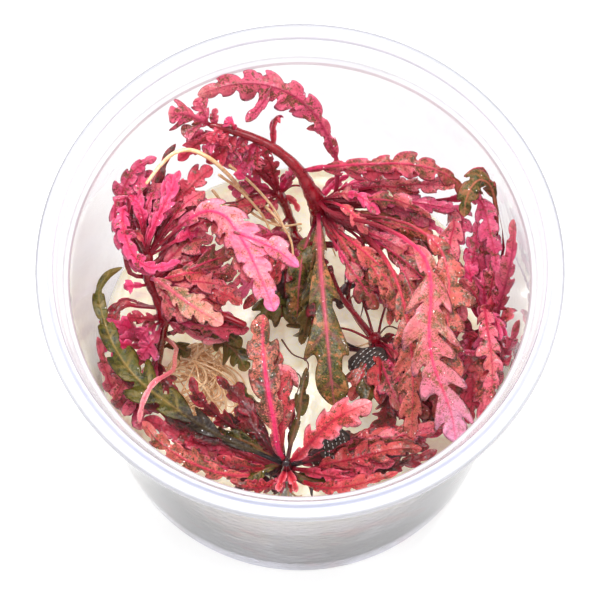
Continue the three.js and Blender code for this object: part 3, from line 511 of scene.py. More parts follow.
# The leaves' coats. Colours are as the eye sees them, and amounts are shares.
LIGHT = 0.96
DEPTH = 1.22
MAUVE = (176, 118, 160)
DEFAULT_COAT = dict(
    blade=(214, 92, 122), shade=(200, 74, 104), heart=(176, 40, 78), tip=(232, 132, 156),
    end=(226, 128, 150), rib=(196, 34, 84), stalk=(152, 22, 54), blotch=(146, 88, 60),
    speck=(98, 62, 42), heart_reach=0.12, tip_amount=0.5, end_start=0.85, blotches=0.25,
    specks=0.35, vein_strength=0.45, rib_spread=1.5, heart_cover=0, gloss=0.75,
)
COATS = {
    "rose_flecked": dict(
        blade=(212, 92, 124), shade=(200, 98, 112), tip=(222, 112, 140), end=(216, 142, 140),
        rib=(170, 42, 84), blotch=(150, 92, 66), speck=(104, 62, 40), blotches=0.3, specks=0.42),
    "rose_olive": dict(
        blade=(200, 104, 112), shade=(184, 102, 90), heart=(218, 92, 128), heart_reach=0.22,
        tip=(222, 88, 128), tip_amount=0.75, end=(148, 92, 62), end_start=0.62,
        rib=(204, 48, 98), blotch=(126, 84, 44), speck=(82, 62, 28), blotches=0.62, specks=0.6),
    "hot_pink": dict(
        blade=(232, 84, 132), shade=(222, 66, 116), heart=(196, 34, 78), tip=(246, 124, 164),
        tip_amount=0.6, end=(236, 96, 140), rib=(206, 30, 88), blotches=0.1, specks=0.1),
    "magenta": dict(
        blade=(216, 92, 128), shade=(202, 76, 116), heart=(168, 34, 72), tip=(236, 128, 160),
        end=(228, 116, 150), rib=(180, 28, 74), blotches=0.2, specks=0.2),
    "crimson": dict(
        blade=(202, 62, 90), shade=(212, 86, 106), heart=(162, 26, 54), tip=(228, 108, 132),
        end=(218, 90, 112), rib=(156, 16, 46), blotch=(150, 66, 52),
        blotches=0.22, specks=0.25),
    "rose": dict(
        blade=(222, 112, 130), shade=(206, 110, 108), heart=(190, 54, 82), tip=(240, 138, 156),
        end=(230, 116, 134), rib=(190, 34, 80), blotch=(156, 98, 64), blotches=0.36, specks=0.42),
    "feature": dict(
        blade=(222, 124, 138), shade=(200, 120, 112), heart=(212, 98, 104), heart_reach=0.22,
        tip=(234, 148, 158), end=(228, 160, 190), end_start=0.5,
        rib=(236, 60, 118), blotch=(182, 122, 90), speck=(122, 88, 52), blotches=0.46,
        specks=0.54, vein_strength=0.3, rib_spread=2.1),
    "salmon_speckled": dict(
        blade=(206, 112, 100), shade=(190, 104, 86), heart=(184, 58, 74), tip=(230, 124, 126),
        end=(222, 118, 118), rib=(214, 66, 96), blotch=(140, 96, 52), speck=(84, 66, 30),
        blotches=0.5, specks=0.58),
    "salmon_pink": dict(
        blade=(222, 106, 112), shade=(208, 108, 96), heart=(198, 62, 84), tip=(238, 130, 140),
        end=(232, 124, 132), rib=(220, 52, 100), blotch=(164, 106, 70), speck=(104, 72, 42),
        blotches=0.34, specks=0.46),
    "coral": dict(
        blade=(232, 94, 104), shade=(222, 84, 90), heart=(206, 44, 70), tip=(252, 150, 164),
        tip_amount=0.85, end=(240, 158, 162), end_start=0.72, rib=(184, 22, 62),
        blotch=(186, 90, 66), speck=(116, 66, 40), blotches=0.24, specks=0.36, rib_spread=1.9),
    "coral_dull": dict(
        blade=(204, 78, 88), shade=(190, 84, 78), heart=(168, 34, 58), tip=(222, 100, 108),
        end=(210, 92, 98), rib=(178, 24, 62), blotch=(140, 78, 48), speck=(92, 52, 30),
        blotches=0.42, specks=0.5),
    "big_pink": dict(
        blade=(250, 132, 160), shade=(244, 150, 158), heart=(234, 104, 136), heart_reach=0.14,
        tip=(254, 162, 184), tip_amount=0.6, end=(250, 134, 184), end_start=0.7,
        rib=(240, 60, 128), blotch=(226, 140, 128), speck=(152, 92, 72), blotches=0.28,
        specks=0.3, vein_strength=0.35, rib_spread=2),
    "pale_speckled": dict(
        blade=(222, 156, 142), shade=(204, 140, 116), heart=(206, 120, 138), heart_reach=0.3,
        tip=(246, 170, 166), tip_amount=0.7, end=(248, 164, 158), end_start=0.62,
        rib=(232, 110, 132), stalk=(206, 110, 140), blotch=(156, 136, 92), speck=(106, 94, 52),
        blotches=0.6, specks=0.52, rib_spread=1.8),
    "pale_strip": dict(
        blade=(228, 150, 154), shade=(222, 132, 138), heart=(214, 108, 118), tip=(236, 168, 166),
        end=(226, 148, 146), rib=(220, 110, 128), stalk=(218, 130, 124), blotches=0.15, specks=0.2),
    "spotted": dict(
        blade=(200, 124, 106), shade=(184, 108, 88), heart=(206, 96, 88), heart_reach=0.18,
        tip=(222, 134, 126), tip_amount=0.4, end=(208, 130, 122), end_start=0.9,
        rib=(238, 52, 118), stalk=(196, 20, 66), blotch=(128, 96, 52), speck=(66, 60, 22),
        blotches=0.58, specks=0.86, vein_strength=0.3, rib_spread=1.9),
    "olive_mottled": dict(
        blade=(176, 120, 80), shade=(142, 104, 54), heart=(152, 84, 76), heart_reach=0.18,
        tip=(182, 124, 84), tip_amount=0.3, end=(178, 122, 84), end_start=0.94,
        rib=(204, 96, 118), stalk=(150, 26, 66), blotch=(80, 92, 20), speck=(50, 56, 10),
        blotches=1.02, specks=0.62, vein_strength=0.3, gloss=0.45),
    "folded_green": dict(
        blade=(164, 112, 80), shade=(132, 100, 52), heart=(210, 88, 108), heart_reach=0.3,
        tip=(196, 104, 100), tip_amount=0.35, end=(184, 116, 92), rib=(196, 120, 96),
        blotch=(86, 98, 28), speck=(58, 62, 16), blotches=0.66, specks=0.5, gloss=0.5),
    "green_veined": dict(
        blade=(84, 88, 8), shade=(102, 94, 20), heart=(50, 32, 26), heart_reach=0.36,
        tip=(112, 98, 34), tip_amount=0.4, end=(128, 104, 48), end_start=0.86,
        rib=(158, 134, 76), stalk=(30, 18, 20), blotch=(52, 60, 6), speck=(38, 40, 8),
        blotches=0.5, specks=0.3, vein_strength=0.7, rib_spread=1.3, heart_cover=0.85, gloss=0.3),
    "wet_green": dict(
        blade=(92, 94, 26), shade=(106, 92, 44), heart=(72, 48, 28), tip=(130, 108, 56),
        end=(138, 106, 60), rib=(150, 102, 70), stalk=(96, 28, 36), blotch=(58, 66, 10),
        speck=(40, 40, 10), blotches=0.45, gloss=0.5),
    "maroon": dict(
        blade=(118, 50, 44), shade=(150, 46, 58), heart=(72, 28, 30), heart_reach=0.35,
        tip=(186, 56, 78), tip_amount=0.7, end=(180, 58, 78), rib=(122, 26, 50),
        stalk=(60, 22, 32), blotch=(92, 66, 32), speck=(52, 36, 20), blotches=0.45, specks=0.5),
    "wet_black": dict(
        blade=(96, 62, 52), shade=(74, 50, 44), heart=(44, 30, 32), heart_reach=0.4,
        tip=(166, 96, 84), end=(176, 106, 88), rib=(96, 34, 50),
        stalk=(38, 22, 28), blotch=(62, 54, 30), speck=(36, 30, 20), blotches=0.4, specks=0.4),
}
COAT_COLOURS = ("blade", "shade", "heart", "tip", "end", "rib", "stalk", "blotch", "speck")
COAT_VALUES = ("heart_reach", "tip_amount", "end_start", "blotches", "specks", "vein_strength", "rib_spread",
               "heart_cover")


def lit(colour, depth=DEPTH):
    """The paint that shows as that colour in this scene's light, under the veil of its gloss"""
    red, green, blue, _ = linear(colour)
    return [red ** depth / LIGHT, green ** depth / LIGHT, blue ** depth / LIGHT, 1]


def title(name):
    return name.replace("_", " ").title()


def leaf_material(name, coat, underside):
    values = {**DEFAULT_COAT, **coat}
    material, net, shader = new_material(name)
    inputs = {title(key): values[key] for key in COAT_VALUES}
    for key in COAT_COLOURS:
        colour = values[key]
        if underside:
            colour = tuple(0.62 * part + 0.38 * mauve for part, mauve in zip(colour, MAUVE))
        inputs[title(key)] = lit(colour)
    if underside:
        inputs["Specks"] *= 0.5
    paint = use(net, LEAF_PAINT, inputs)
    film = use(net, WET_FILM, {"Wet": 0.34, "Dry": 0.62})
    gloss = net.times(film["Film"], values["gloss"])
    ripples = net.noise(net.place(), 1.3, 2, 0.5)
    relief = use(net, LEAF_RELIEF, {"Grain": 0.8})
    net.put_all(shader, {
        "Base Color": paint["Color"], "Roughness": film["Roughness"], "Specular IOR Level": 0.3,
        "Coat Weight": net.math("MAXIMUM", gloss, paint["Stalk"]), "Coat Roughness": 0.07,
        "Coat Normal": bump(net, ripples, 0.6, 0.4), "Normal": bump(net, relief["Height"], 0.8, 0.22),
        "Subsurface Weight": 0.12, "Subsurface Radius": (0.0012, 0.0005, 0.0005), "Subsurface Scale": 1.0,
    })
    return material


LEAF_COATS = {}


def coat_pair(name):
    """A coat's materials for the upper side and the underside, made once"""
    if name not in LEAF_COATS:
        coat = COATS[name]
        LEAF_COATS[name] = [leaf_material(name, coat, False), leaf_material(name + "_underside", coat, True)]
    return LEAF_COATS[name]


def streaked_material(name, first, second, wet, dry, around=8.0, along=3.0, strength=0.5):
    material, net, shader = new_material(name)
    streaks = use(net, STREAKS, {"Around": around, "Along": along})
    film = use(net, WET_FILM, {"Wet": wet, "Dry": dry})
    net.put_all(shader, {
        "Base Color": net.mix(streaks["Mask"], lit(first), lit(second)), "Roughness": film["Roughness"],
        "Coat Weight": net.times(film["Film"], 1 - wet), "Coat Roughness": 0.06,
        "Normal": bump(net, streaks["Height"], strength, 0.2),
    })
    return material


STEM_COAT = streaked_material("stem_crimson", (168, 20, 46), (128, 12, 36), 0.12, 0.34)
DARK_STEM_COAT = streaked_material("stem_wet_dark", (72, 40, 44), (34, 22, 26), 0.06, 0.25)
ROOT_COAT = streaked_material("root_tan", (252, 226, 188), (232, 180, 128), 0.12, 0.4, 5.0, 14.0)
CURL_COAT = streaked_material("curl_brown", (150, 96, 74), (104, 56, 52), 0.12, 0.4)


def cup_material(name, clear, ior, first, second):
    """The cup's plastic: how much it lets through, how much it bends light, and its two tints"""
    material, net, shader = new_material(name)
    place = net.place()
    x, y, height = net.parts(place)
    radius = net.from_axis(x, y)
    haze = net.noise(place, 0.07, 4, 0.6)
    colour = net.mix(net.ease(haze, 0.35, 0.7), linear(first), linear(second))
    # Painted shade: the low front of the wall is tinted lavender-grey, for the shade and the dark plants
    # behind it
    aside = net.times(net.ease(net.math("ABSOLUTE", x), 20, 38), 0.45)
    front = net.times(net.rest(net.ease(y, -36, -6)), net.rest(aside))
    low = net.times(net.rest(net.ease(height, 36, 60)), front)
    colour = net.mix(low, colour, linear(LOW_WALL_SHADE_TINT))
    # Painted shade and reflection: the wall at the left and right below the ledge is tinted pinkish grey, for
    # its shade and the leaves it reflects
    wall = net.rest(net.ease(height, SHOULDER - 6, SHOULDER - 1))
    beside = net.times(net.ease(net.math("ABSOLUTE", x), 22, 38), net.ease(y, -20, 0))
    beside = net.times(beside, net.math("SUBTRACT", wall, net.ease(y, 4, 28), clamp=True))
    colour = net.mix(net.times(beside, 0.85), colour, linear(SIDE_WALL_SHADE_TINT))
    # Painted shadow: a wavy darker band low on the front of the wall, for the front leaves' shadows seen
    # through it
    shapes = net.noise(place, 0.05, 1.5, 0.5)
    band = net.times(net.rest(net.ease(height, 34, 40)), front)
    dark = net.times(net.ease(shapes, 0.47, 0.52), band)
    colour = net.mix(net.times(dark, 0.55), colour, linear(SHADOW_BAND_TINT))
    # Painted: pink patches low on the front of the wall, for the pink leaves seen through it
    blush = net.times(net.ease(net.noise(place, 0.11, 2), 0.58, 0.64), low)
    colour = net.mix(net.times(blush, 0.5), colour, linear(LEAVES_THROUGH_WALL_TINT))
    # Painted light and shade at the edges: thin tinted lines round the ledge and the rim
    high = net.ease(height, SHOULDER - 1, SHOULDER)
    nearer = net.rest(net.ease(y, -30, 15))
    for line_radius, half, tint, behind, in_front in CUP_EDGE_LIGHT_LINES:
        off = net.math("ABSOLUTE", net.math("SUBTRACT", radius, line_radius))
        share = net.times(net.rest(net.ease(off, half * 0.4, half)), high)
        amount = behind if behind == in_front else net.span(nearer, behind, in_front)
        colour = net.mix(net.times(share, amount), colour, linear(tint))
    frost = net.ease(height, SHOULDER - 3, SHOULDER + 1)
    net.put_all(shader, {
        "Base Color": colour, "Roughness": net.plus(net.span(haze, 0.0, 0.05), net.times(frost, 0.24)),
        "Transmission Weight": clear, "IOR": ior,
        "Normal": bump(net, net.noise(place, 0.5, 3, 0.5), 0.08, 0.2),
    })
    return material


def jelly_material():
    material, net, shader = new_material("culture_jelly_cream")
    place = net.place()
    cloud = net.noise(place, 0.12, 3, 0.55)
    wander = net.node("ShaderNodeTexNoise", {"Vector": place, "Scale": 0.09, "Detail": 1.0}).outputs["Color"]
    wandered = net.node("ShaderNodeVectorMath", {0: wander, "Scale": 60.0}, operation="SCALE").outputs[0]
    bent = net.node("ShaderNodeMix", {0: 0.93, 4: place, 5: wandered}, data_type="VECTOR")
    threads = net.cells(bent.outputs[1], 0.42, "DISTANCE_TO_EDGE")
    thread = net.rest(net.ease(threads, 0.0, 0.06))
    colour = net.mix(net.ease(cloud, 0.4, 0.62), *(linear(tint) for tint in JELLY_TINTS))
    colour = net.mix(net.times(thread, 0.3), colour, linear(THREAD_TINT))
    x, y, height = net.parts(place)
    radius = net.from_axis(x, y)
    under = net.rest(net.ease(height, JELLY_TOP - 0.5, JELLY_TOP))
    side = net.times(net.ease(radius, JELLY_SIDE - 2.5, JELLY_SIDE), under)
    shapes = net.noise(place, 0.06, 3, 0.6)
    dark = net.times(net.times(net.ease(shapes, 0.36, 0.64), side), 0.5)
    colour = net.mix(dark, colour, linear(JELLY_SIDE_TINT))
    blush = net.times(net.times(net.ease(cloud, 0.46, 0.66), side), 0.3)
    colour = net.mix(blush, colour, linear(JELLY_BLUSH_TINT))
    shadow = net.times(net.ease(net.noise(place, 0.12, 3, 0.6), 0.5, 0.68), 0.45)
    colour = net.mix(shadow, colour, linear(JELLY_SHADOW_TINT))
    # The jelly glows faintly in its own colour: painted light, for light passing through the gel
    net.put_all(shader, {
        "Base Color": colour, "Emission Color": colour, "Emission Strength": 0.3,
        "Roughness": net.span(cloud, 0.08, 0.2), "Coat Weight": 0.5, "Coat Roughness": 0.04,
        "Subsurface Weight": 0.35, "Subsurface Radius": (0.006, 0.005, 0.003), "Subsurface Scale": 1.0,
        "Normal": bump(net, net.noise(place, 0.3, 3, 0.5), 0.3, 0.6),
    })
    return material


# The studio

def make_camera():
    camera = bpy.data.objects.new("camera", bpy.data.cameras.new("camera"))
    bpy.context.scene.collection.objects.link(camera)
    camera.location = EYE * MM
    camera.rotation_euler = (EYE_TILT, 0, 0)
    camera.data.lens = LENS
    camera.data.sensor_width = SENSOR
    bpy.context.scene.camera = camera


def make_light(name, place, aim, size, watts, tone=(1, 1, 1)):
    data = bpy.data.lights.new(name, "AREA")
    data.shape = "DISK"
    data.size = size
    data.energy = watts
    data.color = tone
    light = bpy.data.objects.new(name, data)
    bpy.context.scene.collection.objects.link(light)
    light.location = place
    way = light.location - Vector(aim)
    light.rotation_euler = way.to_track_quat("Z", "Y").to_euler()


def make_studio():
    material, net, shader = new_material("studio_floor")
    net.put_all(shader, {
        "Base Color": (0.5, 0.5, 0.5, 1), "Roughness": 0.8,
        "Emission Color": (1, 1, 1, 1), "Emission Strength": 0.64,
    })
    half = 3.0
    mesh = bpy.data.meshes.new("floor")
    corners = [(-half, -half, 0), (half, -half, 0), (half, half, 0), (-half, half, 0)]
    mesh.from_pydata(corners, [], [(0, 1, 2, 3)])
    mesh.materials.append(material)
    floor = bpy.data.objects.new("floor", mesh)
    bpy.context.scene.collection.objects.link(floor)

    world = bpy.data.worlds.new("studio")
    bpy.context.scene.world = world
    world.use_nodes = True
    background = world.node_tree.nodes["Background"]
    background.inputs["Color"].default_value = (1, 1, 1, 1)
    background.inputs["Strength"].default_value = 0.66
    target = (0, 0, 0.05)
    make_light("soft_top", (-0.06, 0.12, 0.95), target, 0.5, 4.2)
    make_light("sparkle_back", (-0.25, 0.45, 0.85), target, 0.06, 3.8)
    make_light("sparkle_right", (0.3, 0.3, 0.85), target, 0.05, 1.9)
    make_light("sparkle_front", (-0.12, -0.2, 0.95), target, 0.06, 1.3)
    make_light("side_fill", (0.6, -0.1, 0.5), target, 0.4, 1)
    bpy.context.scene.view_settings.view_transform = "Standard"


# The cup and the jelly

def wall_inside(height):
    """The radius of the wall's inner face at a height"""
    share = (height - WALL) / (SHOULDER - WALL)
    return (1 - share) * (BASE_RADIUS - WALL) + share * SHOULDER_RADIUS


def make_cup():
    base_corner = 1.2
    outside = [
        (0, 0), (BASE_RADIUS - base_corner - 1.2, 0), (BASE_RADIUS - 0.3, 0.5), (BASE_RADIUS, base_corner),
        (SHOULDER_RADIUS + WALL, SHOULDER - 0.6), (SHOULDER_RADIUS + WALL + 0.9, SHOULDER),
        (MOUTH_RADIUS + WALL, CUP_HEIGHT - 1.6), (RIM_RADIUS - 0.8, CUP_HEIGHT - 1.4),
        (RIM_RADIUS - 0.8, CUP_HEIGHT - 2.4), (RIM_RADIUS, CUP_HEIGHT - 2.4), (RIM_RADIUS, CUP_HEIGHT - 0.8),
        (RIM_RADIUS - 0.5, CUP_HEIGHT - 0.4), (RIM_RADIUS - 0.95, CUP_HEIGHT - 0.7),
    ]
    inside = [
        (MOUTH_RADIUS + 1.3, CUP_HEIGHT - 0.65), (MOUTH_RADIUS + 0.8, CUP_HEIGHT - 0.1),
        (MOUTH_RADIUS + 0.4, CUP_HEIGHT), (MOUTH_RADIUS, CUP_HEIGHT - 0.4),
        (SHOULDER_RADIUS + 0.9, SHOULDER + 0.7), (SHOULDER_RADIUS, SHOULDER),
        (BASE_RADIUS - WALL, WALL + 1), (BASE_RADIUS - WALL - 1, WALL), (0, WALL),
    ]
    points, faces = turned(softened([*outside, *inside], 0.25))
    coats = [cup_material("cup_plastic", 0.96, 1.2, (232, 231, 233), (223, 221, 225)),
             cup_material("cup_flange_plastic", 0.35, 1.4, (248, 248, 252), (244, 244, 250)),
             cup_material("cup_lip_plastic", 0.8, 1.2, (254, 254, 255), (250, 249, 252))]
    coat_of_face = []
    for face in faces:
        x, y, height = np.mean([points[corner] for corner in face], axis=0)
        on_ledge = abs(height - SHOULDER) < 0.8
        on_flange = height > CUP_HEIGHT - 3 and math.hypot(x, y) > MOUTH_RADIUS + 0.1
        if on_ledge or on_flange:
            coat_of_face.append(1)
        else:
            coat_of_face.append(2 if height > SHOULDER else 0)
    make_piece("cup_fine", points, faces, coats, SLOTS["cup"], ["cup"], coat_of_face)


def make_jelly():
    floor = WALL + 0.05
    edge = wall_inside(JELLY_TOP)
    profile = [(0, floor), (wall_inside(floor) - 1.4, floor), (wall_inside(floor + 1.4) - 0.1, floor + 1.4),
               (wall_inside(JELLY_TOP + MENISCUS) - 0.05, JELLY_TOP + MENISCUS)]
    for share in np.linspace(0.15, 1, 7):
        profile.append((edge - 2.4 * share, JELLY_TOP + MENISCUS * (1 - share) ** 2))
    for radius in np.linspace(edge - 3.4, 1.5, 24):
        profile.append((radius, JELLY_TOP))
    profile.append((0, JELLY_TOP))
    points, faces = turned(profile)
    points = np.array(points)
    top = points[:, 2] > JELLY_TOP - 0.01
    swell = 0.12 * np.sin(points[:, 0] * 0.33) * np.cos(points[:, 1] * 0.27 + 1)
    points[:, 2] += np.where(top, swell, 0)
    make_piece("jelly_fine", points, faces, [jelly_material()], SLOTS["culture_jelly"], ["culture_jelly"])


# Stems

STEM_STEPS = 10


class Stem:
    """A stem through places (across, along, height, radius)"""

    def __init__(self, places):
        self.line = seen_line(places, STEM_STEPS)
        spans = np.linspace(0, len(places) - 1, len(self.line))
        self.radii = np.interp(spans, np.arange(len(places)), [place[3] for place in places])

    def at(self, height):
        """Where the stem's middle passes a height, and how thick it is there"""
        nearest = np.argmin(np.abs(self.line[:, 2] - height))
        return self.line[nearest], self.radii[nearest]

    def tube(self, seed):
        """The stem's skin, swollen at its joints and not quite round"""
        steps = np.arange(len(self.line))
        joint = np.exp(-((steps % STEM_STEPS - STEM_STEPS / 2) / 1.6) ** 2)
        waver = 0.94 + 0.03 * np.sin(steps * 0.9 + seed) + 0.04 * joint
        line = self.line.copy()
        foot = line[:1] + [[0, 0, -1.2]]
        return tube(np.vstack([foot, line]), np.concatenate([[self.radii[0] * 1.1], self.radii * waver]))


main_stem = Stem([
    (3.2, 2.1, FOOT, 1.9), (3.4, 6, 33, 1.7), (3.5, 10.2, 44, 2), (3.2, 12.2, 48, 2.2),
    (1.7, 15, 51.5, 1.6), (0.2, 18, 54.5, 1.3), (-2.8, 21.4, 58, 1.1), (-6.5, 24.1, 61, 1),
    (-10.5, 26, 63.5, 0.9), (-14, 27.2, 65.5, 0.9), (-17, 27.9, 66.5, 0.6),
])
back_stem = Stem([
    (-1.2, 3.6, FOOT, 1), (-1.1, 6, 29, 0.95), (-2, 9.2, 34.5, 0.95), (-3.1, 12, 38.5, 1.1),
    (-4, 13.7, 41, 1.2),
])
back_shoot = Stem([
    (-1.2, 6.2, 29, 0.8), (0.2, 4.2, 31.5, 0.8), (3, 3.4, 32.8, 0.8), (6.5, 3.3, 33.6, 0.8),
    (9.8, 2.4, 34.6, 0.75), (12.8, 1.2, 35.4, 0.6),
])
left_stem = Stem([
    (-27.2, -24.4, FOOT, 1.2), (-26.4, -18, 33, 1.2), (-25.6, -12.8, 42, 1.3), (-25.4, -10.3, 45.5, 1.7),
    (-27, -6.8, 48.8, 1.1), (-28.6, -3.2, 51.8, 1.1), (-29, 0.8, 54.5, 1.5),
])
left_shoot = Stem([
    (-25, -10.6, 45.2, 0.9), (-20.5, -10.7, 46, 0.9), (-15, -10.8, 45, 0.9), (-10.6, -12.6, 42.6, 0.8),
])
front_stem = Stem([
    (-2.7, -45.3, FOOT, 1.5), (-2.6, -42.4, 34, 1.5), (-2.5, -40.4, 41, 1.5), (-2.5, -39.4, 45, 1),
])
middle_stem = Stem([
    (13.9, -18.8, FOOT, 1.3), (14, -16.8, 29, 1.4), (14, -15.4, 34.5, 1.6),
])
middle_shoots = [
    Stem([(14, -15.6, 34, 0.7), (10.6, -11, 37.5, 0.65), (7.4, -6.4, 41, 0.6), (5.9, -2.4, 44, 0.5)]),
    Stem([(13.6, -15.8, 33, 0.6), (9.6, -9.4, 34.5, 0.6), (9, -6, 36, 0.55), (10.2, -2.4, 38.5, 0.5),
          (12.6, 2, 41.5, 0.5)]),
]
right_stem = Stem([
    (32.2, -18.8, FOOT, 1.2), (33.4, -16, 33, 1.2), (34.6, -13.4, 43, 1.4), (34.9, -12.8, 46.5, 1.5),
])


# Each stem's node, its stem and shoots, and its coat
STEM_GROUPS = (
    ("main_stem", [main_stem], STEM_COAT),
    ("back_stem", [back_stem, back_shoot], STEM_COAT),
    ("left_stem", [left_stem, left_shoot], STEM_COAT),
    ("front_stem", [front_stem], DARK_STEM_COAT),
    ("middle_stem", [middle_stem, *middle_shoots], STEM_COAT),
    ("right_stem", [right_stem], STEM_COAT),
)


def make_stems():
    for node, stems, coat in STEM_GROUPS:
        make_tubes(node + "_fine", [stem.tube(seed) for seed, stem in enumerate(stems)], coat, node)


make_camera()
make_studio()
make_cup()
make_jelly()
make_stems()


# Leaves

def fullness(share, widest):
    """How wide a leaf is along its blade, as a share of its widest"""
    rise = min(1, share / widest) ** 0.7
    fall = ((1 - share) / (1 - widest)) ** 0.75 if share > widest else 1
    return rise * (0.22 + 0.78 * fall)


class Midrib:
    """A leaf's line, and its direction, side and face at every place along it"""

    SMOOTHING = 2.0

    def __init__(self, line, twist):
        self.run = np.concatenate([[0], np.cumsum(np.linalg.norm(np.diff(line, axis=0), axis=1))])
        self.length = self.run[-1]
        self.line = line
        self.along = unit(np.gradient(line, self.run, axis=0))
        side = unit(np.cross(self.along, EYE - line))
        near = np.exp(-((self.run[:, None] - self.run[None, :]) / self.SMOOTHING) ** 2)
        side = near @ side / near.sum(axis=1, keepdims=True)
        side = unit(side - self.along * np.sum(side * self.along, axis=1, keepdims=True))
        face = np.cross(side, self.along)
        share = (self.run / self.length)[:, None]
        turn = np.radians(twist[0] + (twist[1] - twist[0]) * share)
        self.side = np.cos(turn) * side + np.sin(turn) * face
        self.face = np.cos(turn) * face - np.sin(turn) * side

    def at(self, where):
        """Centre, side and face at places along the line, in millimetres, also past its end"""
        def read(rows):
            return np.stack([np.interp(where, self.run, rows[:, axis]) for axis in range(3)], axis=-1)
        beyond = np.maximum(where - self.length, 0)[..., None] * self.along[-1]
        return read(self.line) + beyond, read(self.side), read(self.face)


def lobe_outline(shape, rows):
    """The outline's places, evenly spread along its edge"""
    line = smooth_line(shape, 8)
    run = np.concatenate([[0], np.cumsum(np.linalg.norm(np.diff(line * [1, LOBE_ASPECT], axis=0), axis=1))])
    even = np.linspace(0, run[-1], rows, endpoint=False)
    return np.column_stack([np.interp(even, run, line[:, axis]) for axis in range(2)])


class Grid:
    """How finely a blade is divided along its stalk, lobes and end, and across its rib and its blade"""

    def __init__(self, stalk, lobe, end, rib, blade, petiole, shapes=(PLAIN_LOBE, TOOTHED_LOBE, BLUNT_LOBE)):
        self.stalk = stalk
        self.petiole = petiole
        self.lobe = lobe
        self.end = end
        self.rib = rib
        self.blade = blade
        self.lobes = [lobe_outline(shape, lobe) for shape in shapes]


FINE = Grid(8, 13, 10, (0.55, 1), (0.2, 0.42, 0.64, 0.84, 1), 0.44)
SAWN = Grid(8, 16, 12, (0.55, 1), (0.2, 0.42, 0.64, 0.84, 1), 0.44, (SAWN_LOBE,))
SMALL = Grid(6, 10, 7, (1,), (0.25, 0.5, 0.76, 1), 0.3)


def margin(length, stalk, lobes, wide, widest, reach, cut, lean, grid, dice):
    """One side's edge: for each row its place on the midrib, its edge's (along, out) and its lobe"""
    blade = stalk * length
    pitch = (length - blade) / lobes
    plain = [wide * fullness((lobe + 0.5) / lobes, widest) for lobe in range(lobes)]
    fars = [reach[int((lobe + 0.5) / lobes * len(reach))] if reach else 1 for lobe in range(lobes)]
    tips = [max(grid.petiole * 1.3, full * far * dice.uniform(0.78, 1.22))
            for full, far in zip(plain, fars)]
    notches = [grid.petiole] + [max(grid.petiole, cut * dice.uniform(0.75, 1.2) * min(pair))
                                for pair in zip(plain, plain[1:])]
    notches[-1] = max(notches[-1], END_NECK * tips[-1])
    rows = [(blade * step / grid.stalk, blade * step / grid.stalk, grid.petiole, step / grid.stalk - 1)
            for step in range(grid.stalk)]
    corners = [np.array([blade + pitch * (lobe + dice.uniform(-0.13, 0.13) * (lobe > 0))
                         + lean * notch * (lobe > 0), notch]) for lobe, notch in enumerate(notches)]
    for lobe, (start, end) in enumerate(zip(corners, corners[1:])):
        lobe_lean = lean * dice.uniform(0.8, 1.3)
        tip = np.array([blade + pitch * (lobe + dice.uniform(0.42, 0.6)) + lobe_lean * tips[lobe],
                        tips[lobe]])
        middle, half = (start + end) / 2, (end - start) / 2
        for step, (across, out) in enumerate(grid.lobes[dice.integers(len(grid.lobes))]):
            edge = middle + half * across + (tip - middle) * out
            rows.append((blade + pitch * (lobe + step / grid.lobe), *edge, lobe + step / grid.lobe))
    last, notch = max(tips[-1], notches[-1] * 1.02), notches[-1]
    start = min(corners[-1][0], length - last)
    turn_in = -math.acos((notch / last) ** (1 / END_POINT))
    centre = (start - length * math.sin(turn_in)) / (1 - math.sin(turn_in))
    for step in range(grid.end):
        share = step / grid.end
        turn = turn_in + (math.pi / 2 - turn_in) * share
        edge = (centre + (length - centre) * math.sin(turn), last * math.cos(turn) ** END_POINT)
        rows.append((blade + pitch * (lobes - 1 + share), *edge, lobes - 1 + share))
    return np.array(rows)


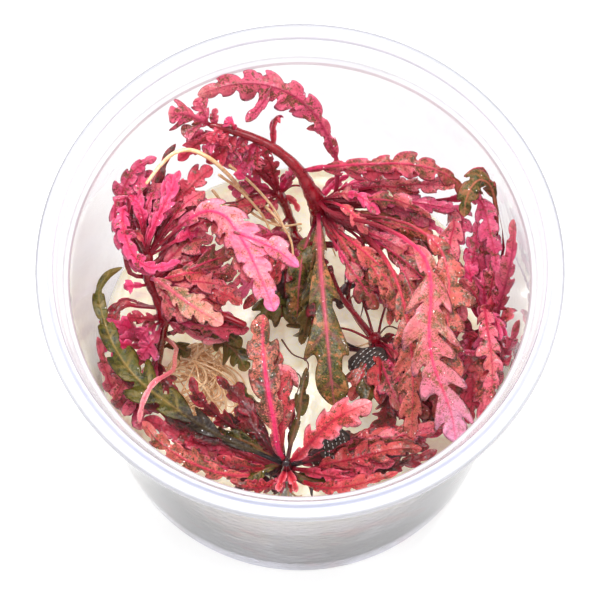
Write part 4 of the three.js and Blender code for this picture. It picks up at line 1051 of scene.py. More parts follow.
def blade_mesh(midrib, left, right, rib_size, fold, ruffle, lifts, phase, grid):
    """A closed leaf: an upper and a lower skin that meet at the edge, round a midrib"""
    rows = len(left)
    columns = []
    for edge, side in ((left, -1), (right, 1)):
        base, reach, out, lobe = edge.T
        rib = np.minimum(rib_size(base / midrib.length), out * 0.8)
        shares = [column * rib / out for column in grid.rib]
        shares += [rib / out + column * (1 - rib / out) for column in grid.blade]
        half = [(base + share * (reach - base), side * share * out, share, lobe, rib) for share in shares]
        columns.append(half)
    base, lobe = left[:, 0], left[:, 3]
    rib = rib_size(base / midrib.length)
    centre = (base, 0 * base, 0 * base, lobe, rib)
    lanes = [*columns[0][::-1], centre, *columns[1]]
    along, out, share, lobe, rib = (np.stack([np.broadcast_to(lane[part], rows) for lane in lanes], axis=1)
                                    for part in range(5))
    wide = len(lanes)

    middle = np.sign(out)
    bend = np.where(middle < 0, fold[0], fold[1])
    lift = np.where(middle < 0, np.interp(lobe, np.arange(len(lifts[0])) + 0.5, lifts[0]),
                    np.interp(lobe, np.arange(len(lifts[1])) + 0.5, lifts[1]))
    distance = np.abs(out)
    on_blade = ease(lobe, -0.2, 0.6)
    wave = np.sin(2 * math.pi * lobe + phase + middle) + 0.5 * np.sin(4.6 * math.pi * lobe + 2 * phase)
    rise = -bend * distance - 0.012 * bend * distance ** 2
    rise = rise + on_blade * distance * share ** 1.5 * (ruffle * wave + lift)
    crease = np.abs((lobe % 1) - 0.5) * 2
    rise = rise + (on_blade * 0.22 * (crease - 0.5) * np.sin(math.pi * np.clip(share, 0, 1))
                   * ease(distance, 0.6, 3))
    rounded = np.sqrt(np.clip(1 - (distance / np.maximum(rib, 1e-6)) ** 2, 0, 1))
    thin = BLADE_HALF_THICKNESS * np.sqrt(np.clip(1 - share ** 10, 0, 1))
    above = thin + 0.3 * rib * rounded
    below = thin + 0.9 * rib * rounded

    centres, sides, faces_out = midrib.at(along)
    sheet = centres + sides * out[..., None] + faces_out * rise[..., None]
    upper = (sheet + faces_out * above[..., None]).reshape(-1, 3)
    lower = (sheet - faces_out * below[..., None])[:, 1:-1].reshape(-1, 3)
    start, tip = midrib.at(np.array([0.0, midrib.length]))[0]
    points = np.vstack([upper, lower, start[None], tip[None]])

    top = np.arange(rows * wide).reshape(rows, wide)
    under = top.copy()
    under[:, 1:-1] = rows * wide + np.arange(rows * (wide - 2)).reshape(rows, wide - 2)
    quads = []
    for sheet_index, flip in ((top, False), (under, True)):
        corners = [sheet_index[:-1, :-1], sheet_index[:-1, 1:], sheet_index[1:, 1:], sheet_index[1:, :-1]]
        block = np.stack(corners, axis=-1).reshape(-1, 4)
        quads.append(block[:, ::-1] if flip else block)
    faces = [tuple(face) for block in quads for face in block.tolist()]
    which = [0] * len(quads[0]) + [1] * len(quads[1])
    ends = ((0, len(points) - 2, True), (rows - 1, len(points) - 1, False))
    for row, point, first in ends:
        for sheet_index, coat in ((top, 0), (under, 1)):
            for a, b in zip(sheet_index[row, :-1].tolist(), sheet_index[row, 1:].tolist()):
                faces.append((b, a, point) if first == (coat == 0) else (a, b, point))
                which.append(coat)

    length_share = np.where(lobe < 0, lobe, (along - base[:, None]) / midrib.length
                            + np.clip(lobe, 0, None) / (left[-1, 3] + 1 / grid.end))
    maps = {
        "UVMap": (length_share, 0.5 + 0.5 * share * middle),
        "vein_map": (lobe + 40 * (middle > 0), share),
        "rib_map": (distance / np.maximum(rib, 1e-6), 0 * share),
    }
    layers = {}
    for name, (first, second) in maps.items():
        both = np.stack([first, second], axis=-1)
        layers[name] = np.vstack([both.reshape(-1, 2), both[:, 1:-1].reshape(-1, 2), both[0, wide // 2][None],
                                  both[-1, wide // 2][None]])
    return points, faces, which, layers


# The coat of the smaller leaves that are tucked under a leaf, mostly darker: painted shade for their place
# under it
DEEPER = {
    "rose_flecked": "rose", "rose_olive": "crimson", "hot_pink": "magenta", "magenta": "rose_olive",
    "crimson": "magenta", "rose": "magenta", "feature": "salmon_speckled", "salmon_speckled": "rose_olive",
    "salmon_pink": "rose_olive", "coral": "coral_dull", "coral_dull": "crimson", "big_pink": "rose",
    "pale_speckled": "rose", "pale_strip": "rose", "spotted": "coral_dull", "olive_mottled": "wet_green",
    "folded_green": "rose_olive", "green_veined": "maroon", "wet_green": "maroon", "maroon": "wet_black",
    "wet_black": "wet_black",
}
WALL_CLEARANCE = 0.35
JELLY_CLEARANCE = 0.25
BLADE_COUNT = 0


def kept_in_cup(points):
    """The points, with those that would pass through the wall or the jelly moved back"""
    radius = np.hypot(points[:, 0], points[:, 1])
    room = wall_inside(points[:, 2]) - WALL_CLEARANCE
    points[:, :2] *= np.minimum(1, room / np.maximum(radius, 1))[:, None]
    points[:, 2] = np.maximum(points[:, 2], JELLY_TOP + JELLY_CLEARANCE)
    return points


def grow(piece, node, coat, midrib, left, right, lobes, stalk, widest, cut, ruffle, rib, dice,
         reach=None, lean=LOBE_LEAN, grid=SMALL):
    """One blade on a midrib, as a piece in place of the node's solid"""
    edges = [margin(midrib.length, stalk, lobes, wide, widest, (reach or {}).get(side), cut, lean, grid, dice)
             for wide, side in ((left, "left"), (right, "right"))]
    size = rib * (0.52 + 0.03 * (left + right))

    def rib_size(share):
        return size * (0.5 - 0.36 * np.clip(share, 0, 1) ** 0.8)

    lifts = [dice.uniform(-0.3, 0.26, lobes + 1) for _ in range(2)]
    fold = dice.uniform(0.02, 0.3, 2)
    phase = dice.uniform(0, 6)
    points, faces, which, layers = blade_mesh(midrib, *edges, rib_size, fold, ruffle, lifts, phase, grid)
    make_piece(piece, kept_in_cup(points), faces, coat_pair(coat), SLOTS[node], [node], which, layers)


def leaf(node, coat, stem, height, path, left, right, lobes, stalk=0.1, widest=0.4, reach=None,
         twist=None, cut=0.45, ruffle=0.22, rib=1.0, piece=None, tucked=1, finer=1.15, lean=LOBE_LEAN,
         grid=FINE):
    """A leaf from a stem at a height, along places, with so many lobes of so many millimetres a side.

    It has finer times the lobes of its solid, and smaller leaves tucked under it.
    """
    global BLADE_COUNT
    BLADE_COUNT += 1
    lobes = round(lobes * finer)
    dice = np.random.default_rng(BLADE_COUNT)
    seen = [sight(place) for place in path]
    middle, radius = stem.at(height)
    away = unit(seen[0] - middle)
    line = smooth_line([middle + away * radius * 0.5, *seen], 12)
    midrib = Midrib(line, twist or tuple(dice.uniform(-14, 14, 2)))
    piece = piece or node + "_fine"
    grow(piece, node, coat, midrib, left, right, lobes, stalk, widest, cut, ruffle, rib, dice,
         reach, lean, grid)

    first_side = dice.choice((-1, 1))
    for count in range(tucked):
        aside = first_side * (-1) ** count * dice.uniform(0.4, 0.75) * (left + right) / 2
        drop, share = dice.uniform(1.2, 2.6), dice.uniform(0.55, 0.88)
        leave = ease(midrib.run / midrib.length, 0.02, 0.45)[:, None]
        shifted = line + leave * (midrib.side * aside - midrib.face * drop)
        shifted = shifted[midrib.run <= share * midrib.length]
        under = Midrib(shifted, tuple(dice.uniform(-30, 30, 2)))
        wide = (left + right) / 2 * dice.uniform(0.6, 0.85)
        few = max(3, round(lobes * share))
        grow(f"{piece}_tucked_{count + 1}", node, DEEPER[coat], under, wide, wide, few,
             min(0.6, stalk / share), widest, cut, ruffle * 1.4, rib * 0.9, dice)


def leaflets(node, *leaves):
    """The small leaves that sit tight on a stem"""
    for count, (coat, stem, height, path, form) in enumerate(leaves, 1):
        leaf(node, coat, stem, height, path, piece=f"{node}_leaflet_{count}", **form)


def side_lobe(node, coat, places, left, right, lobes):
    """A long lobe of a leaf, which is a blade of its own"""
    dice = np.random.default_rng(int(abs(places[0][0] * 10)))
    midrib = Midrib(seen_line(places, 8), (0, 0))
    across, along, _ = places[-1]
    name = f"{node}_side_lobe_{round(across)}_{round(along)}".replace("-", "m")
    grow(name, node, coat, midrib, left, right, lobes, 0.12, 0.6, 0.85, 0.16, 0.7, dice)


# The leaflets on the stems

leaflets(
    "main_stem",
    ("crimson", main_stem, 60, [(-5.2, 26, 61.5), (-5, 28.2, 63.5), (-4.5, 29.3, 64.3), (-3.8, 28.4, 64.5)],
     dict(left=0.9, right=0.9, lobes=2)),
    ("hot_pink", main_stem, 46, [(4.6, 13.6, 48), (6, 15.2, 49), (8, 16.8, 50.5), (9.4, 17.6, 51.5)],
     dict(left=1, right=1, lobes=3)),
    ("crimson", main_stem, 64.4, [(-13.2, 24.5, 63.5), (-15, 22.3, 61.5), (-18, 20.2, 59.5)],
     dict(left=2.6, right=2.4, lobes=3)),
    ("magenta", main_stem, 63.4, [(-11.3, 23.6, 61.5), (-12.4, 21.4, 59.5), (-14.6, 19.4, 57.5)],
     dict(left=2.2, right=2.2, lobes=3)),
    ("rose_flecked", main_stem, 66.2, [(-16.6, 29.6, 67.5), (-16.2, 31.6, 68.5)],
     dict(left=1.2, right=1.2, lobes=2)),
    ("magenta", main_stem, 62, [(-9.4, 23, 60.5), (-9.8, 20.6, 58.5), (-11, 18, 56)],
     dict(left=1.9, right=1.9, lobes=3, widest=0.5)),
    ("coral_dull", main_stem, 45, [(5.6, 6.6, 46.4), (8.6, 3.6, 47.4), (10.4, 0.6, 47.2), (11, -2.8, 46)],
     dict(left=1.7, right=1.8, lobes=3, stalk=0.25, widest=0.5)),
)
leaflets(
    "back_stem",
    ("hot_pink", back_stem, 40.6, [(-3.2, 15.8, 42.5), (-2.2, 17.2, 44), (-0.9, 18, 45.5)],
     dict(left=1.3, right=1.3, lobes=2, widest=0.5)),
    ("coral", back_stem, 40, [(-2, 12.8, 39.5), (-0.8, 11.5, 38.8), (-0.3, 10, 38)],
     dict(left=1, right=0.8, lobes=2)),
    ("magenta", back_stem, 40.8, [(-7, 14.1, 40.8), (-10.4, 14.7, 41.6), (-13.8, 15.2, 42.2)],
     dict(left=1.3, right=1.3, lobes=3, widest=0.6)),
    ("coral_dull", back_shoot, 31.5, [(0.4, 1.4, 32), (-1, -2.6, 33.4), (-2.6, -6.2, 34.6), (-4, -9, 34.8)],
     dict(left=2.4, right=2.4, lobes=3, stalk=0.2, widest=0.5)),
)
leaflets(
    "left_stem",
    ("magenta", left_stem, 53.5, [(-30.3, 6, 56), (-30.7, 12, 58.2), (-29.9, 16.2, 59.8),
                                  (-28.2, 18.6, 60.8)],
     dict(left=2.1, right=2, lobes=4, stalk=0.2, widest=0.6)),
    ("hot_pink", left_stem, 54.4, [(-28.6, 4.4, 60.4), (-26.2, 10.6, 64), (-24.2, 15, 65), (-23, 18.6, 65)],
     dict(left=1.7, right=1.7, lobes=4, stalk=0.25, widest=0.6)),
    ("magenta", left_stem, 45.6, [(-27.8, -11.6, 46.2), (-29, -14, 45), (-29.3, -17.4, 43)],
     dict(left=1.6, right=1.7, lobes=3, stalk=0.25)),
    ("coral_dull", left_stem, 46.5, [(-29.8, -9, 46.8), (-33, -8.8, 47), (-34.5, -11, 46.6),
                                     (-34.2, -15, 45.4)],
     dict(left=1.3, right=1.5, lobes=3, stalk=0.4)),
)
leaflets(
    "front_stem",
    ("crimson", front_stem, 40.6, [(-8, -38.9, 40.6), (-14, -37, 42.4), (-20, -35.4, 44.6),
                                   (-25.6, -32.4, 46)],
     dict(left=2.1, right=2, lobes=5, stalk=0.3, widest=0.5)),
    ("wet_green", front_stem, 44, [(-1.6, -35.4, 45.2), (-0.4, -31, 45.6), (0.4, -26, 45.4),
                                   (1.2, -21, 44.8)],
     dict(left=1.6, right=1.7, lobes=3, stalk=0.2)),
    ("coral", front_stem, 42, [(-3.4, -42.8, 44), (-4, -44.9, 45.6)], dict(left=1.2, right=1.2, lobes=2)),
    ("coral", front_stem, 42, [(-1.2, -42.8, 43.4), (-0.6, -45, 44.8)],
     dict(left=1.2, right=1.2, lobes=2)),
    ("wet_black", front_stem, 43.4, [(1.5, -38.6, 43), (5, -38.2, 42.6), (9.4, -38.8, 41.6)],
     dict(left=2.1, right=1.8, lobes=3)),
)
leaflets(
    "middle_stem",
    ("wet_black", middle_stem, 34, [(13.8, -18.4, 36.5), (13.2, -21.4, 38), (12.6, -24.6, 38.6)],
     dict(left=2.6, right=2.6, lobes=3, widest=0.5)),
    ("maroon", middle_shoots[1], 36.4, [(11.2, -4.6, 37), (12.6, -7, 36.6), (12.6, -9.8, 35.4)],
     dict(left=1.8, right=1.8, lobes=2, stalk=0.15, widest=0.5)),
    ("salmon_speckled", middle_stem, 34, [(16.4, -18, 36), (18, -22.4, 38.8), (19.6, -27.8, 41.4),
                                          (22, -33, 43)],
     dict(left=2.5, right=2.6, lobes=4, stalk=0.15, widest=0.5)),
)
leaflets(
    "right_stem",
    ("magenta", right_stem, 45.6, [(34.8, -16, 50), (33.8, -18.2, 52.6), (31, -18.1, 53.6),
                                   (27.8, -17.9, 53.8)],
     dict(left=0.7, right=0.7, lobes=2, stalk=0.7)),
    ("rose_olive", right_stem, 40, [(31.4, -15.4, 40), (27.4, -18.8, 42.4), (25.6, -24.8, 43.8),
                                    (24.8, -31, 42.6)],
     dict(left=2.4, right=2.3, lobes=4, stalk=0.3, widest=0.5)),
)


# The leaves on the main stem

leaf("arching_leaf", "rose_flecked", main_stem, 47,
     [(5.4, 12, 49), (6.7, 13.8, 51), (7.1, 16.6, 53.4), (7.1, 20, 56.4), (6.3, 23, 59), (4.9, 26.6, 62),
      (2.9, 30.2, 65), (0.3, 33, 67.4), (-3.2, 35.3, 69), (-7.2, 36.6, 69.8), (-11.5, 36.8, 70.3),
      (-15.5, 36, 70.5), (-19.8, 34.3, 70)],
     left=4.1, right=3, lobes=9, stalk=0.17, widest=0.62,
     twist=(0, 8), cut=0.55, finer=1, tucked=0)
side_lobe("arching_leaf", "rose_flecked",
          [(-5.6, 36, 69.6), (-7, 33, 68.6), (-8.8, 30.6, 67.4), (-10.4, 28.6, 66.4)], 1.7, 1.6, 2)
side_lobe("arching_leaf", "rose_flecked", [(1.8, 31.8, 66.3), (-0.2, 31.4, 66), (-2.2, 30.8, 65.4)],
          0.9, 1, 1)
side_lobe("arching_leaf", "rose_flecked", [(4.4, 27.4, 62.8), (2.8, 27.4, 62.4), (1.2, 27.2, 61.8)],
          0.9, 1, 1)
leaf("top_right_leaf", "rose_olive", main_stem, 55,
     [(1.8, 18.7, 57.5), (5, 19.3, 60.2), (9, 19.7, 62), (14, 19.9, 63.5), (19, 20, 64.4),
      (23.5, 19.4, 64.4), (27.4, 18, 63), (30.2, 15.6, 61), (31, 12.6, 58.8)],
     left=2.2, right=2.6, lobes=7, stalk=0.06, widest=0.55, twist=(-10, 10))
leaf("serrated_leaf", "hot_pink", main_stem, 44.3,
     [(6.8, 11.1, 45.8), (9, 12.2, 48.5), (11.6, 12.7, 51), (13.4, 14.2, 53.5), (15.6, 16.2, 56)],
     left=2, right=2, lobes=5, stalk=0.35)
leaf("wide_right_leaf", "magenta", main_stem, 42.5,
     [(9, 10.9, 44.5), (15, 11.3, 47.5), (21, 11.6, 51), (27, 12.4, 55), (31.3, 13, 58.6), (33.8, 12.8, 61.2),
      (35.2, 10.2, 62), (36, 6, 61.5), (36.8, 1, 59.6), (37, -2.6, 57.8)],
     left=2.8, right=2.6, lobes=5, stalk=0.55, widest=0.45, tucked=0)
leaf("magenta_leaf", "magenta", main_stem, 40.5,
     [(8.6, 9.6, 42.5), (14, 9.9, 45.4), (19, 9.5, 48.6), (22.4, 8.6, 50.8), (25, 7.2, 52.4),
      (27.6, 5.4, 53)],
     left=2, right=1.9, lobes=5, stalk=0.4, tucked=0)
leaf("hot_lobed_leaf", "rose", main_stem, 38.5,
     [(8, 8.2, 39.5), (15, 8.9, 42.5), (22, 10.3, 47), (27.4, 10.4, 52), (29.2, 8, 55.6), (28.4, 4, 57.4),
      (28, 0, 57.8), (28.6, -4, 57.2), (29.6, -8, 56.2), (30.8, -12, 54.8)],
     left=2.7, right=2.7, lobes=6, stalk=0.45, widest=0.45)
leaf("feature_leaf", "feature", main_stem, 49.5,
     [(5.8, 9.8, 51.6), (10, 8.6, 55), (15, 7.2, 58.4), (20, 4.5, 61), (23.2, 1.2, 62.6), (24.5, -3, 63.2),
      (24.5, -8, 63), (24.1, -14, 62.2), (24.6, -19.5, 61), (26.3, -25, 59.2), (27.9, -30, 57),
      (28.7, -35.6, 54.4)],
     left=5.9, right=5.7, lobes=7, stalk=0.4, widest=0.35, twist=(0, 0), cut=0.36, finer=1, lean=1.1)
leaf("long_narrow_leaf", "salmon_speckled", main_stem, 46.5,
     [(7.4, 8.4, 48.4), (11, 6.6, 50.6), (14.5, 2.8, 52.8), (16.8, -0.8, 54.2), (18.5, -5, 55),
      (19.7, -9.5, 55), (20.4, -14.5, 54.4), (20.9, -21, 52.6), (20.8, -28, 50.2), (20.4, -34.8, 47.4)],
     left=3.2, right=3.8, lobes=7, stalk=0.4, widest=0.5, twist=(0, 5), finer=1, lean=1)
leaf("salmon_leaf", "salmon_speckled", main_stem, 42.4,
     [(7.6, 7.6, 43.8), (11.2, 5.9, 45), (13.6, 3, 46), (15, -1, 46.8), (16.2, -5, 46.8), (16.9, -9, 46),
      (16.7, -12.8, 45)],
     left=2.3, right=2.3, lobes=5, stalk=0.3, widest=0.45)
leaf("wide_salmon_leaf", "salmon_pink", main_stem, 40,
     [(8, 7, 41.6), (12.4, 6.8, 44.6), (17.4, 5.4, 48.8), (20.2, 2, 50.8), (21.6, -2, 51.2), (22.5, -6, 50.6),
      (22.8, -11, 49)],
     left=3.4, right=3.4, lobes=5, stalk=0.4, widest=0.4)
leaf("olive_leaf", "olive_mottled", main_stem, 36.5,
     [(8, 6.8, 37.4), (14.4, 7, 39.4), (19.6, 8, 42.6), (22.6, 6.6, 44.8), (24, 4, 45.6), (24.8, 1, 45.4)],
     left=2.1, right=2.1, lobes=3, stalk=0.55, widest=0.4, tucked=0)
leaf("long_central_leaf", "olive_mottled", main_stem, 45.6,
     [(3.6, 7, 49), (3.7, 3.4, 51.6), (3.9, -1, 53.8), (4.3, -6.5, 55), (4.8, -12, 55.2), (5.3, -18, 54.2),
      (5.8, -23.5, 52.2), (6.4, -28.6, 49)],
     left=5.6, right=5.8, lobes=4, stalk=0.1, widest=0.74,
     reach={"left": [0.8, 0.9, 1, 0.8], "right": [0.9, 1, 1.05, 0.8]},
     twist=(0, 0), rib=1.15, cut=0.5, finer=1, lean=1.1, grid=SAWN, tucked=0)
leaf("shoot_leaf", "rose_flecked", main_stem, 66.5,
     [(-19.2, 29, 69), (-21.9, 30.2, 71.2), (-25.4, 30.5, 73)],
     left=3, right=3, lobes=3, stalk=0.08, widest=0.5, cut=0.56, ruffle=0.2, finer=1, lean=0.9, tucked=0)
side_lobe("shoot_leaf", "rose_flecked", [(-17.8, 28.4, 68), (-18.6, 31, 69.6), (-20.2, 33.6, 71)], 2.4,
          2.4, 3)
side_lobe("shoot_leaf", "rose_flecked", [(-18.6, 28.4, 68), (-20.6, 27.2, 68.4), (-22.8, 26.2, 68.2)],
          2, 2, 3)
leaf("shoot_drop_leaf", "crimson", main_stem, 65.8,
     [(-17.4, 25.4, 65.2), (-19.6, 24.2, 64.2), (-21.4, 22.4, 62.8), (-23.4, 20.6, 61.4)],
     left=1.9, right=1.9, lobes=3, stalk=0.15)


# The leaves on the back stem

leaf("back_rising_leaf", "crimson", back_stem, 40.6,
     [(-4.7, 16.6, 45), (-5.5, 19.6, 49), (-7, 22.4, 53)],
     left=2, right=1.9, lobes=4, stalk=0.2)
leaf("back_crimson_leaf", "crimson", back_stem, 40.9,
     [(-5.8, 16, 43.8), (-8.8, 19, 47), (-11.5, 20.6, 50), (-15, 20.8, 52.6)],
     left=2.5, right=2.6, lobes=5, stalk=0.2, widest=0.6)
leaf("back_green_leaf", "folded_green", back_stem, 38.8,
     [(-7.6, 12, 41), (-11.6, 10.6, 43.2), (-15.4, 9.2, 44)],
     left=1.9, right=1.9, lobes=4, stalk=0.2)
leaf("back_rose_leaf", "magenta", back_stem, 34.5,
     [(-5.6, 4.6, 39), (-8.4, -0.4, 41.4), (-9.8, -4.6, 43.4), (-12.2, -7.6, 43.4)],
     left=2.6, right=2.6, lobes=4, stalk=0.3)


# The leaves on the left stem

leaf("outer_arch_leaf", "magenta", left_stem, 54.2,
     [(-31.6, 4.6, 57), (-33.2, 9.4, 60), (-33.8, 13.8, 62.4), (-32.4, 17.6, 64), (-29.9, 20.2, 65),
      (-27.4, 21.2, 65)],
     left=1.9, right=2, lobes=6, stalk=0.15, widest=0.5)
leaf("spear_leaf", "maroon", left_stem, 54.8,
     [(-28.7, 6.6, 58), (-27.4, 13, 60), (-26.5, 18, 61.8), (-25.4, 21.6, 62.6), (-23.8, 24.1, 62.8)],
     left=1.1, right=1.1, lobes=2, stalk=0.5)
leaf("wide_crimson_leaf", "crimson", left_stem, 54,
     [(-26.2, 6, 56.2), (-23.8, 11.2, 58.2), (-21, 15, 59.8), (-18.4, 17.8, 60.4), (-16.6, 19, 60.2)],
     left=3, right=2.9, lobes=5, stalk=0.2, widest=0.6)
leaf("big_pink_leaf", "big_pink", left_stem, 53,
     [(-25.8, 1.4, 53.6), (-24.2, 5, 55.8), (-21.4, 8.3, 59), (-17.6, 10.2, 61.4),
      (-14.3, 9.2, 62.4), (-12, 6.2, 62.4), (-9.8, 2.3, 61.6), (-7.9, -2, 60.4), (-6.2, -6, 59),
      (-4.8, -10, 57.4)],
     left=4.3, right=4.4, lobes=8, stalk=0.26, widest=0.42,
     reach={"left": [1, 1, 1, 1.2, 1.2, 1, 1, 1]}, twist=(0, 0), cut=0.6, finer=1)
side_lobe("big_pink_leaf", "big_pink",
          [(-12.6, 6, 62.6), (-8.4, 4.4, 62.3), (-4, 2, 61.4), (-0.2, -1.2, 60)], 2.5, 2.4, 3)
leaf("rose_leaf", "rose", left_stem, 51.6,
     [(-26, -0.6, 51.6), (-24, 2.8, 52.4), (-21, 5.3, 54.2), (-17.8, 6.2, 53.8)],
     left=2, right=2, lobes=4, stalk=0.25, widest=0.5)
leaf("low_rose_leaf", "crimson", left_stem, 50.4,
     [(-25, 0.4, 50.2), (-21.5, 2, 50.8), (-18.2, 2.6, 50.6)],
     left=1.6, right=1.6, lobes=4, stalk=0.25)
leaf("curled_pink_leaf", "hot_pink", left_stem, 51.8,
     [(-31.8, -2.6, 53.6), (-33.2, 2.4, 58.2), (-33.6, 7.4, 62.6), (-33.6, 10.6, 65.8), (-33.6, 7.6, 67.2),
      (-32.5, 3.6, 65.8), (-30.8, 0.4, 64.6), (-28.3, -1.2, 62.8), (-25.2, -0.9, 61), (-22.6, 0.1, 59.6)],
     left=2, right=1.9, lobes=8, stalk=0.36, widest=0.35)
leaf("speckled_pale_leaf", "pale_speckled", left_stem, 51.8,
     [(-27, -3.8, 53.4), (-24.5, -5.6, 54.6), (-21.5, -7.9, 54.8), (-18, -10.3, 54.4), (-14.4, -12.5, 53.4)],
     left=3.5, right=3.3, lobes=5, widest=0.5, twist=(0, 0), cut=0.6, finer=1)
leaf("pale_curved_leaf", "pale_strip", left_stem, 43.4,
     [(-22.4, -12.9, 42.6), (-19, -15.2, 41.6), (-16, -15.9, 41), (-13, -15.2, 40.4)],
     left=1, right=1, lobes=3, stalk=0.3)
leaf("dark_left_leaf", "wet_green", left_stem, 39,
     [(-20.6, -13.6, 37.4), (-15.4, -15.4, 36.6), (-12, -18, 36), (-10, -21.8, 35)],
     left=3, right=3, lobes=4, stalk=0.35, widest=0.5)
leaf("brown_leaf", "salmon_speckled", left_stem, 49.2,
     [(-24.4, -1, 47.8), (-20.4, 0.2, 47.8), (-16.4, 1.6, 47.4)],
     left=2.2, right=2.2, lobes=3, stalk=0.2)
leaf("coral_side_leaf", "coral_dull", left_stem, 47.8,
     [(-22.8, -4.8, 48.6), (-18, -5.2, 48.8), (-14.2, -6.6, 48.4), (-10.8, -8.6, 47.4)],
     left=2.4, right=2.4, lobes=4, stalk=0.2, widest=0.5)
leaf("left_wall_leaf", "rose", left_stem, 31,
     [(-29, -28, 35.6), (-32.2, -28.4, 41), (-34.9, -24.8, 46.4), (-36.6, -20.2, 50), (-37.8, -15, 52.6)],
     left=1.6, right=2.2, lobes=5, stalk=0.25, widest=0.5, twist=(0, 0))
leaf("pale_strip_leaf", "pale_strip", left_stem, 38.4,
     [(-23.2, -16.8, 41.6), (-23.3, -19.2, 47.5), (-23.4, -21.4, 52), (-25, -22.6, 56.4),
      (-27.2, -24.2, 58.4), (-29, -27.8, 59), (-29.7, -32, 58)],
     left=0.55, right=0.55, lobes=3, stalk=0.7, tucked=0)


# The leaves on the front stem

leaf("spotted_leaf", "spotted", front_stem, 43.8,
     [(-4.1, -36.4, 48.8), (-4.8, -31.5, 53), (-5.8, -26, 55.4), (-6.6, -20.5, 56.4), (-7, -15, 56.2),
      (-6.8, -10.6, 54.8)],
     left=4.3, right=3.9, lobes=5, stalk=0.08, widest=0.6,
     reach={"right": [0.8, 0.8, 0.95, 0.95, 0.95]}, twist=(0, 0), rib=1.3, cut=0.74, finer=1)
side_lobe("spotted_leaf", "pale_strip",
          [(-5.4, -22, 55.6), (-3.6, -21.4, 55.6), (-1.6, -22.4, 54.6), (-0.4, -25, 52.6)], 1.6, 1.8, 1)
leaf("coral_leaf", "coral", front_stem, 43.8,
     [(0.3, -37.4, 48.6), (3.4, -33.9, 53.4), (6.4, -31.1, 56), (9.7, -29.2, 57.6), (13.3, -27.8, 57.8)],
     left=3.6, right=4, lobes=5, stalk=0.08, widest=0.55, twist=(0, 0), cut=0.55, finer=1, tucked=0)
leaf("big_green_leaf", "green_veined", front_stem, 43,
     [(-8, -37.4, 46), (-13, -35.2, 47.2), (-18, -32.4, 48.8), (-22.5, -29.3, 50.4), (-27, -26, 52),
      (-31, -22.3, 53.4), (-34.8, -16.5, 54.6), (-37, -10.5, 55.6), (-37.7, -6, 56.4), (-36.1, -2.8, 57.4),
      (-33.4, -1.2, 58)],
     left=3.5, right=3.6, lobes=9, stalk=0.12, widest=0.4,
     reach={"left": [1, 1, 1, 1, 0.8, 0.7, 0.6, 0.6], "right": [1, 1, 1, 1, 0.8, 0.7, 0.6, 0.6]},
     twist=(0, 10), cut=0.36, finer=0.9, lean=1)
leaf("mottled_leaf", "maroon", front_stem, 41,
     [(-8.4, -35.4, 41.6), (-13.6, -31.6, 44.6), (-17.2, -28.6, 48), (-19.4, -25.6, 50.6),
      (-20.1, -22.8, 51.8)],
     left=2, right=2, lobes=4, stalk=0.35)
leaf("left_rim_leaf", "salmon_speckled", front_stem, 38,
     [(-7, -41.4, 40.6), (-12, -41.8, 43.4), (-17, -40.6, 45.8), (-22, -38.2, 47.6),
      (-26.2, -35, 48.4), (-29, -31.4, 48)],
     left=2.2, right=2.6, lobes=6, stalk=0.15, widest=0.55)
leaf("front_left_leaf", "coral_dull", front_stem, 40.6,
     [(-4.4, -43, 42.2), (-6.8, -44.1, 45.6), (-9.6, -44, 48.4), (-12.8, -42.8, 49.2)],
     left=1.5, right=1.8, lobes=4, stalk=0.15)
leaf("front_right_leaf", "coral_dull", front_stem, 39.5,
     [(0.9, -43, 42.4), (4, -44.2, 47), (8, -44, 49.4), (12.5, -42.9, 51), (18, -41.2, 51.8)],
     left=1.8, right=1.4, lobes=6, stalk=0.15, widest=0.5)
leaf("right_spotted_leaf", "coral_dull", front_stem, 41.4,
     [(2.4, -41, 43.4), (5, -39.6, 46.4), (9, -38.8, 48), (14, -37.4, 49.4), (18.5, -36.6, 50),
      (22.4, -36.8, 50)],
     left=2.7, right=2.4, lobes=6, stalk=0.12, widest=0.5)
leaf("low_right_leaf", "maroon", front_stem, 37,
     [(3, -42, 38.6), (9, -42, 41), (15, -40.6, 43.6), (20.5, -39, 45.4), (25.2, -37, 46.8)],
     left=2.2, right=2.2, lobes=6, stalk=0.15, widest=0.5)


# The leaves on the low middle stem

leaf("maroon_leaf", "maroon", middle_stem, 29,
     [(15.2, -20.6, 30.6), (16, -26, 34.6), (15.6, -30.8, 38.6), (13, -33.6, 40.8)],
     left=3.2, right=3.2, lobes=4, stalk=0.2, widest=0.55)
leaf("dark_middle_leaf", "wet_green", middle_stem, 26,
     [(9, -17.4, 27.6), (4, -15.4, 30), (0.4, -12.4, 32.6), (-2.6, -9.4, 34)],
     left=3, right=3, lobes=4, stalk=0.35, widest=0.55)


# The leaves on the right stem

leaf("far_right_leaf", "rose_flecked", right_stem, 45.4,
     [(36.8, -10.4, 52), (38.2, -6, 59), (39.5, -1, 64.5), (40.3, 4, 68.5), (40.5, 8.6, 71.5)],
     left=2.3, right=1.5, lobes=6, stalk=0.1, widest=0.3, twist=(0, 0), cut=0.5, finer=1, lean=1)
leaf("right_wall_leaf", "rose_flecked", right_stem, 40.6,
     [(37.2, -15.6, 42.8), (38, -17.4, 50), (38.4, -18, 58), (39.8, -15.4, 64.6), (41, -11.6, 69)],
     left=1.9, right=1.3, lobes=4, stalk=0.3, twist=(0, 0))
leaf("right_rose_leaf", "rose", right_stem, 46,
     [(34.8, -9.6, 51.6), (34.6, -9.8, 56), (35, -13.4, 58.6), (35.6, -18.5, 58.8), (35.6, -24, 57.4),
      (34.2, -28.6, 55)],
     left=2.6, right=2.8, lobes=6, stalk=0.2, widest=0.45)
leaf("right_red_leaf", "crimson", right_stem, 42,
     [(32.2, -14.4, 43.8), (31.6, -17, 47.2), (32, -22, 47.6), (31.8, -27.6, 46), (31, -32, 43.8)],
     left=3, right=3, lobes=5, stalk=0.12, widest=0.5)
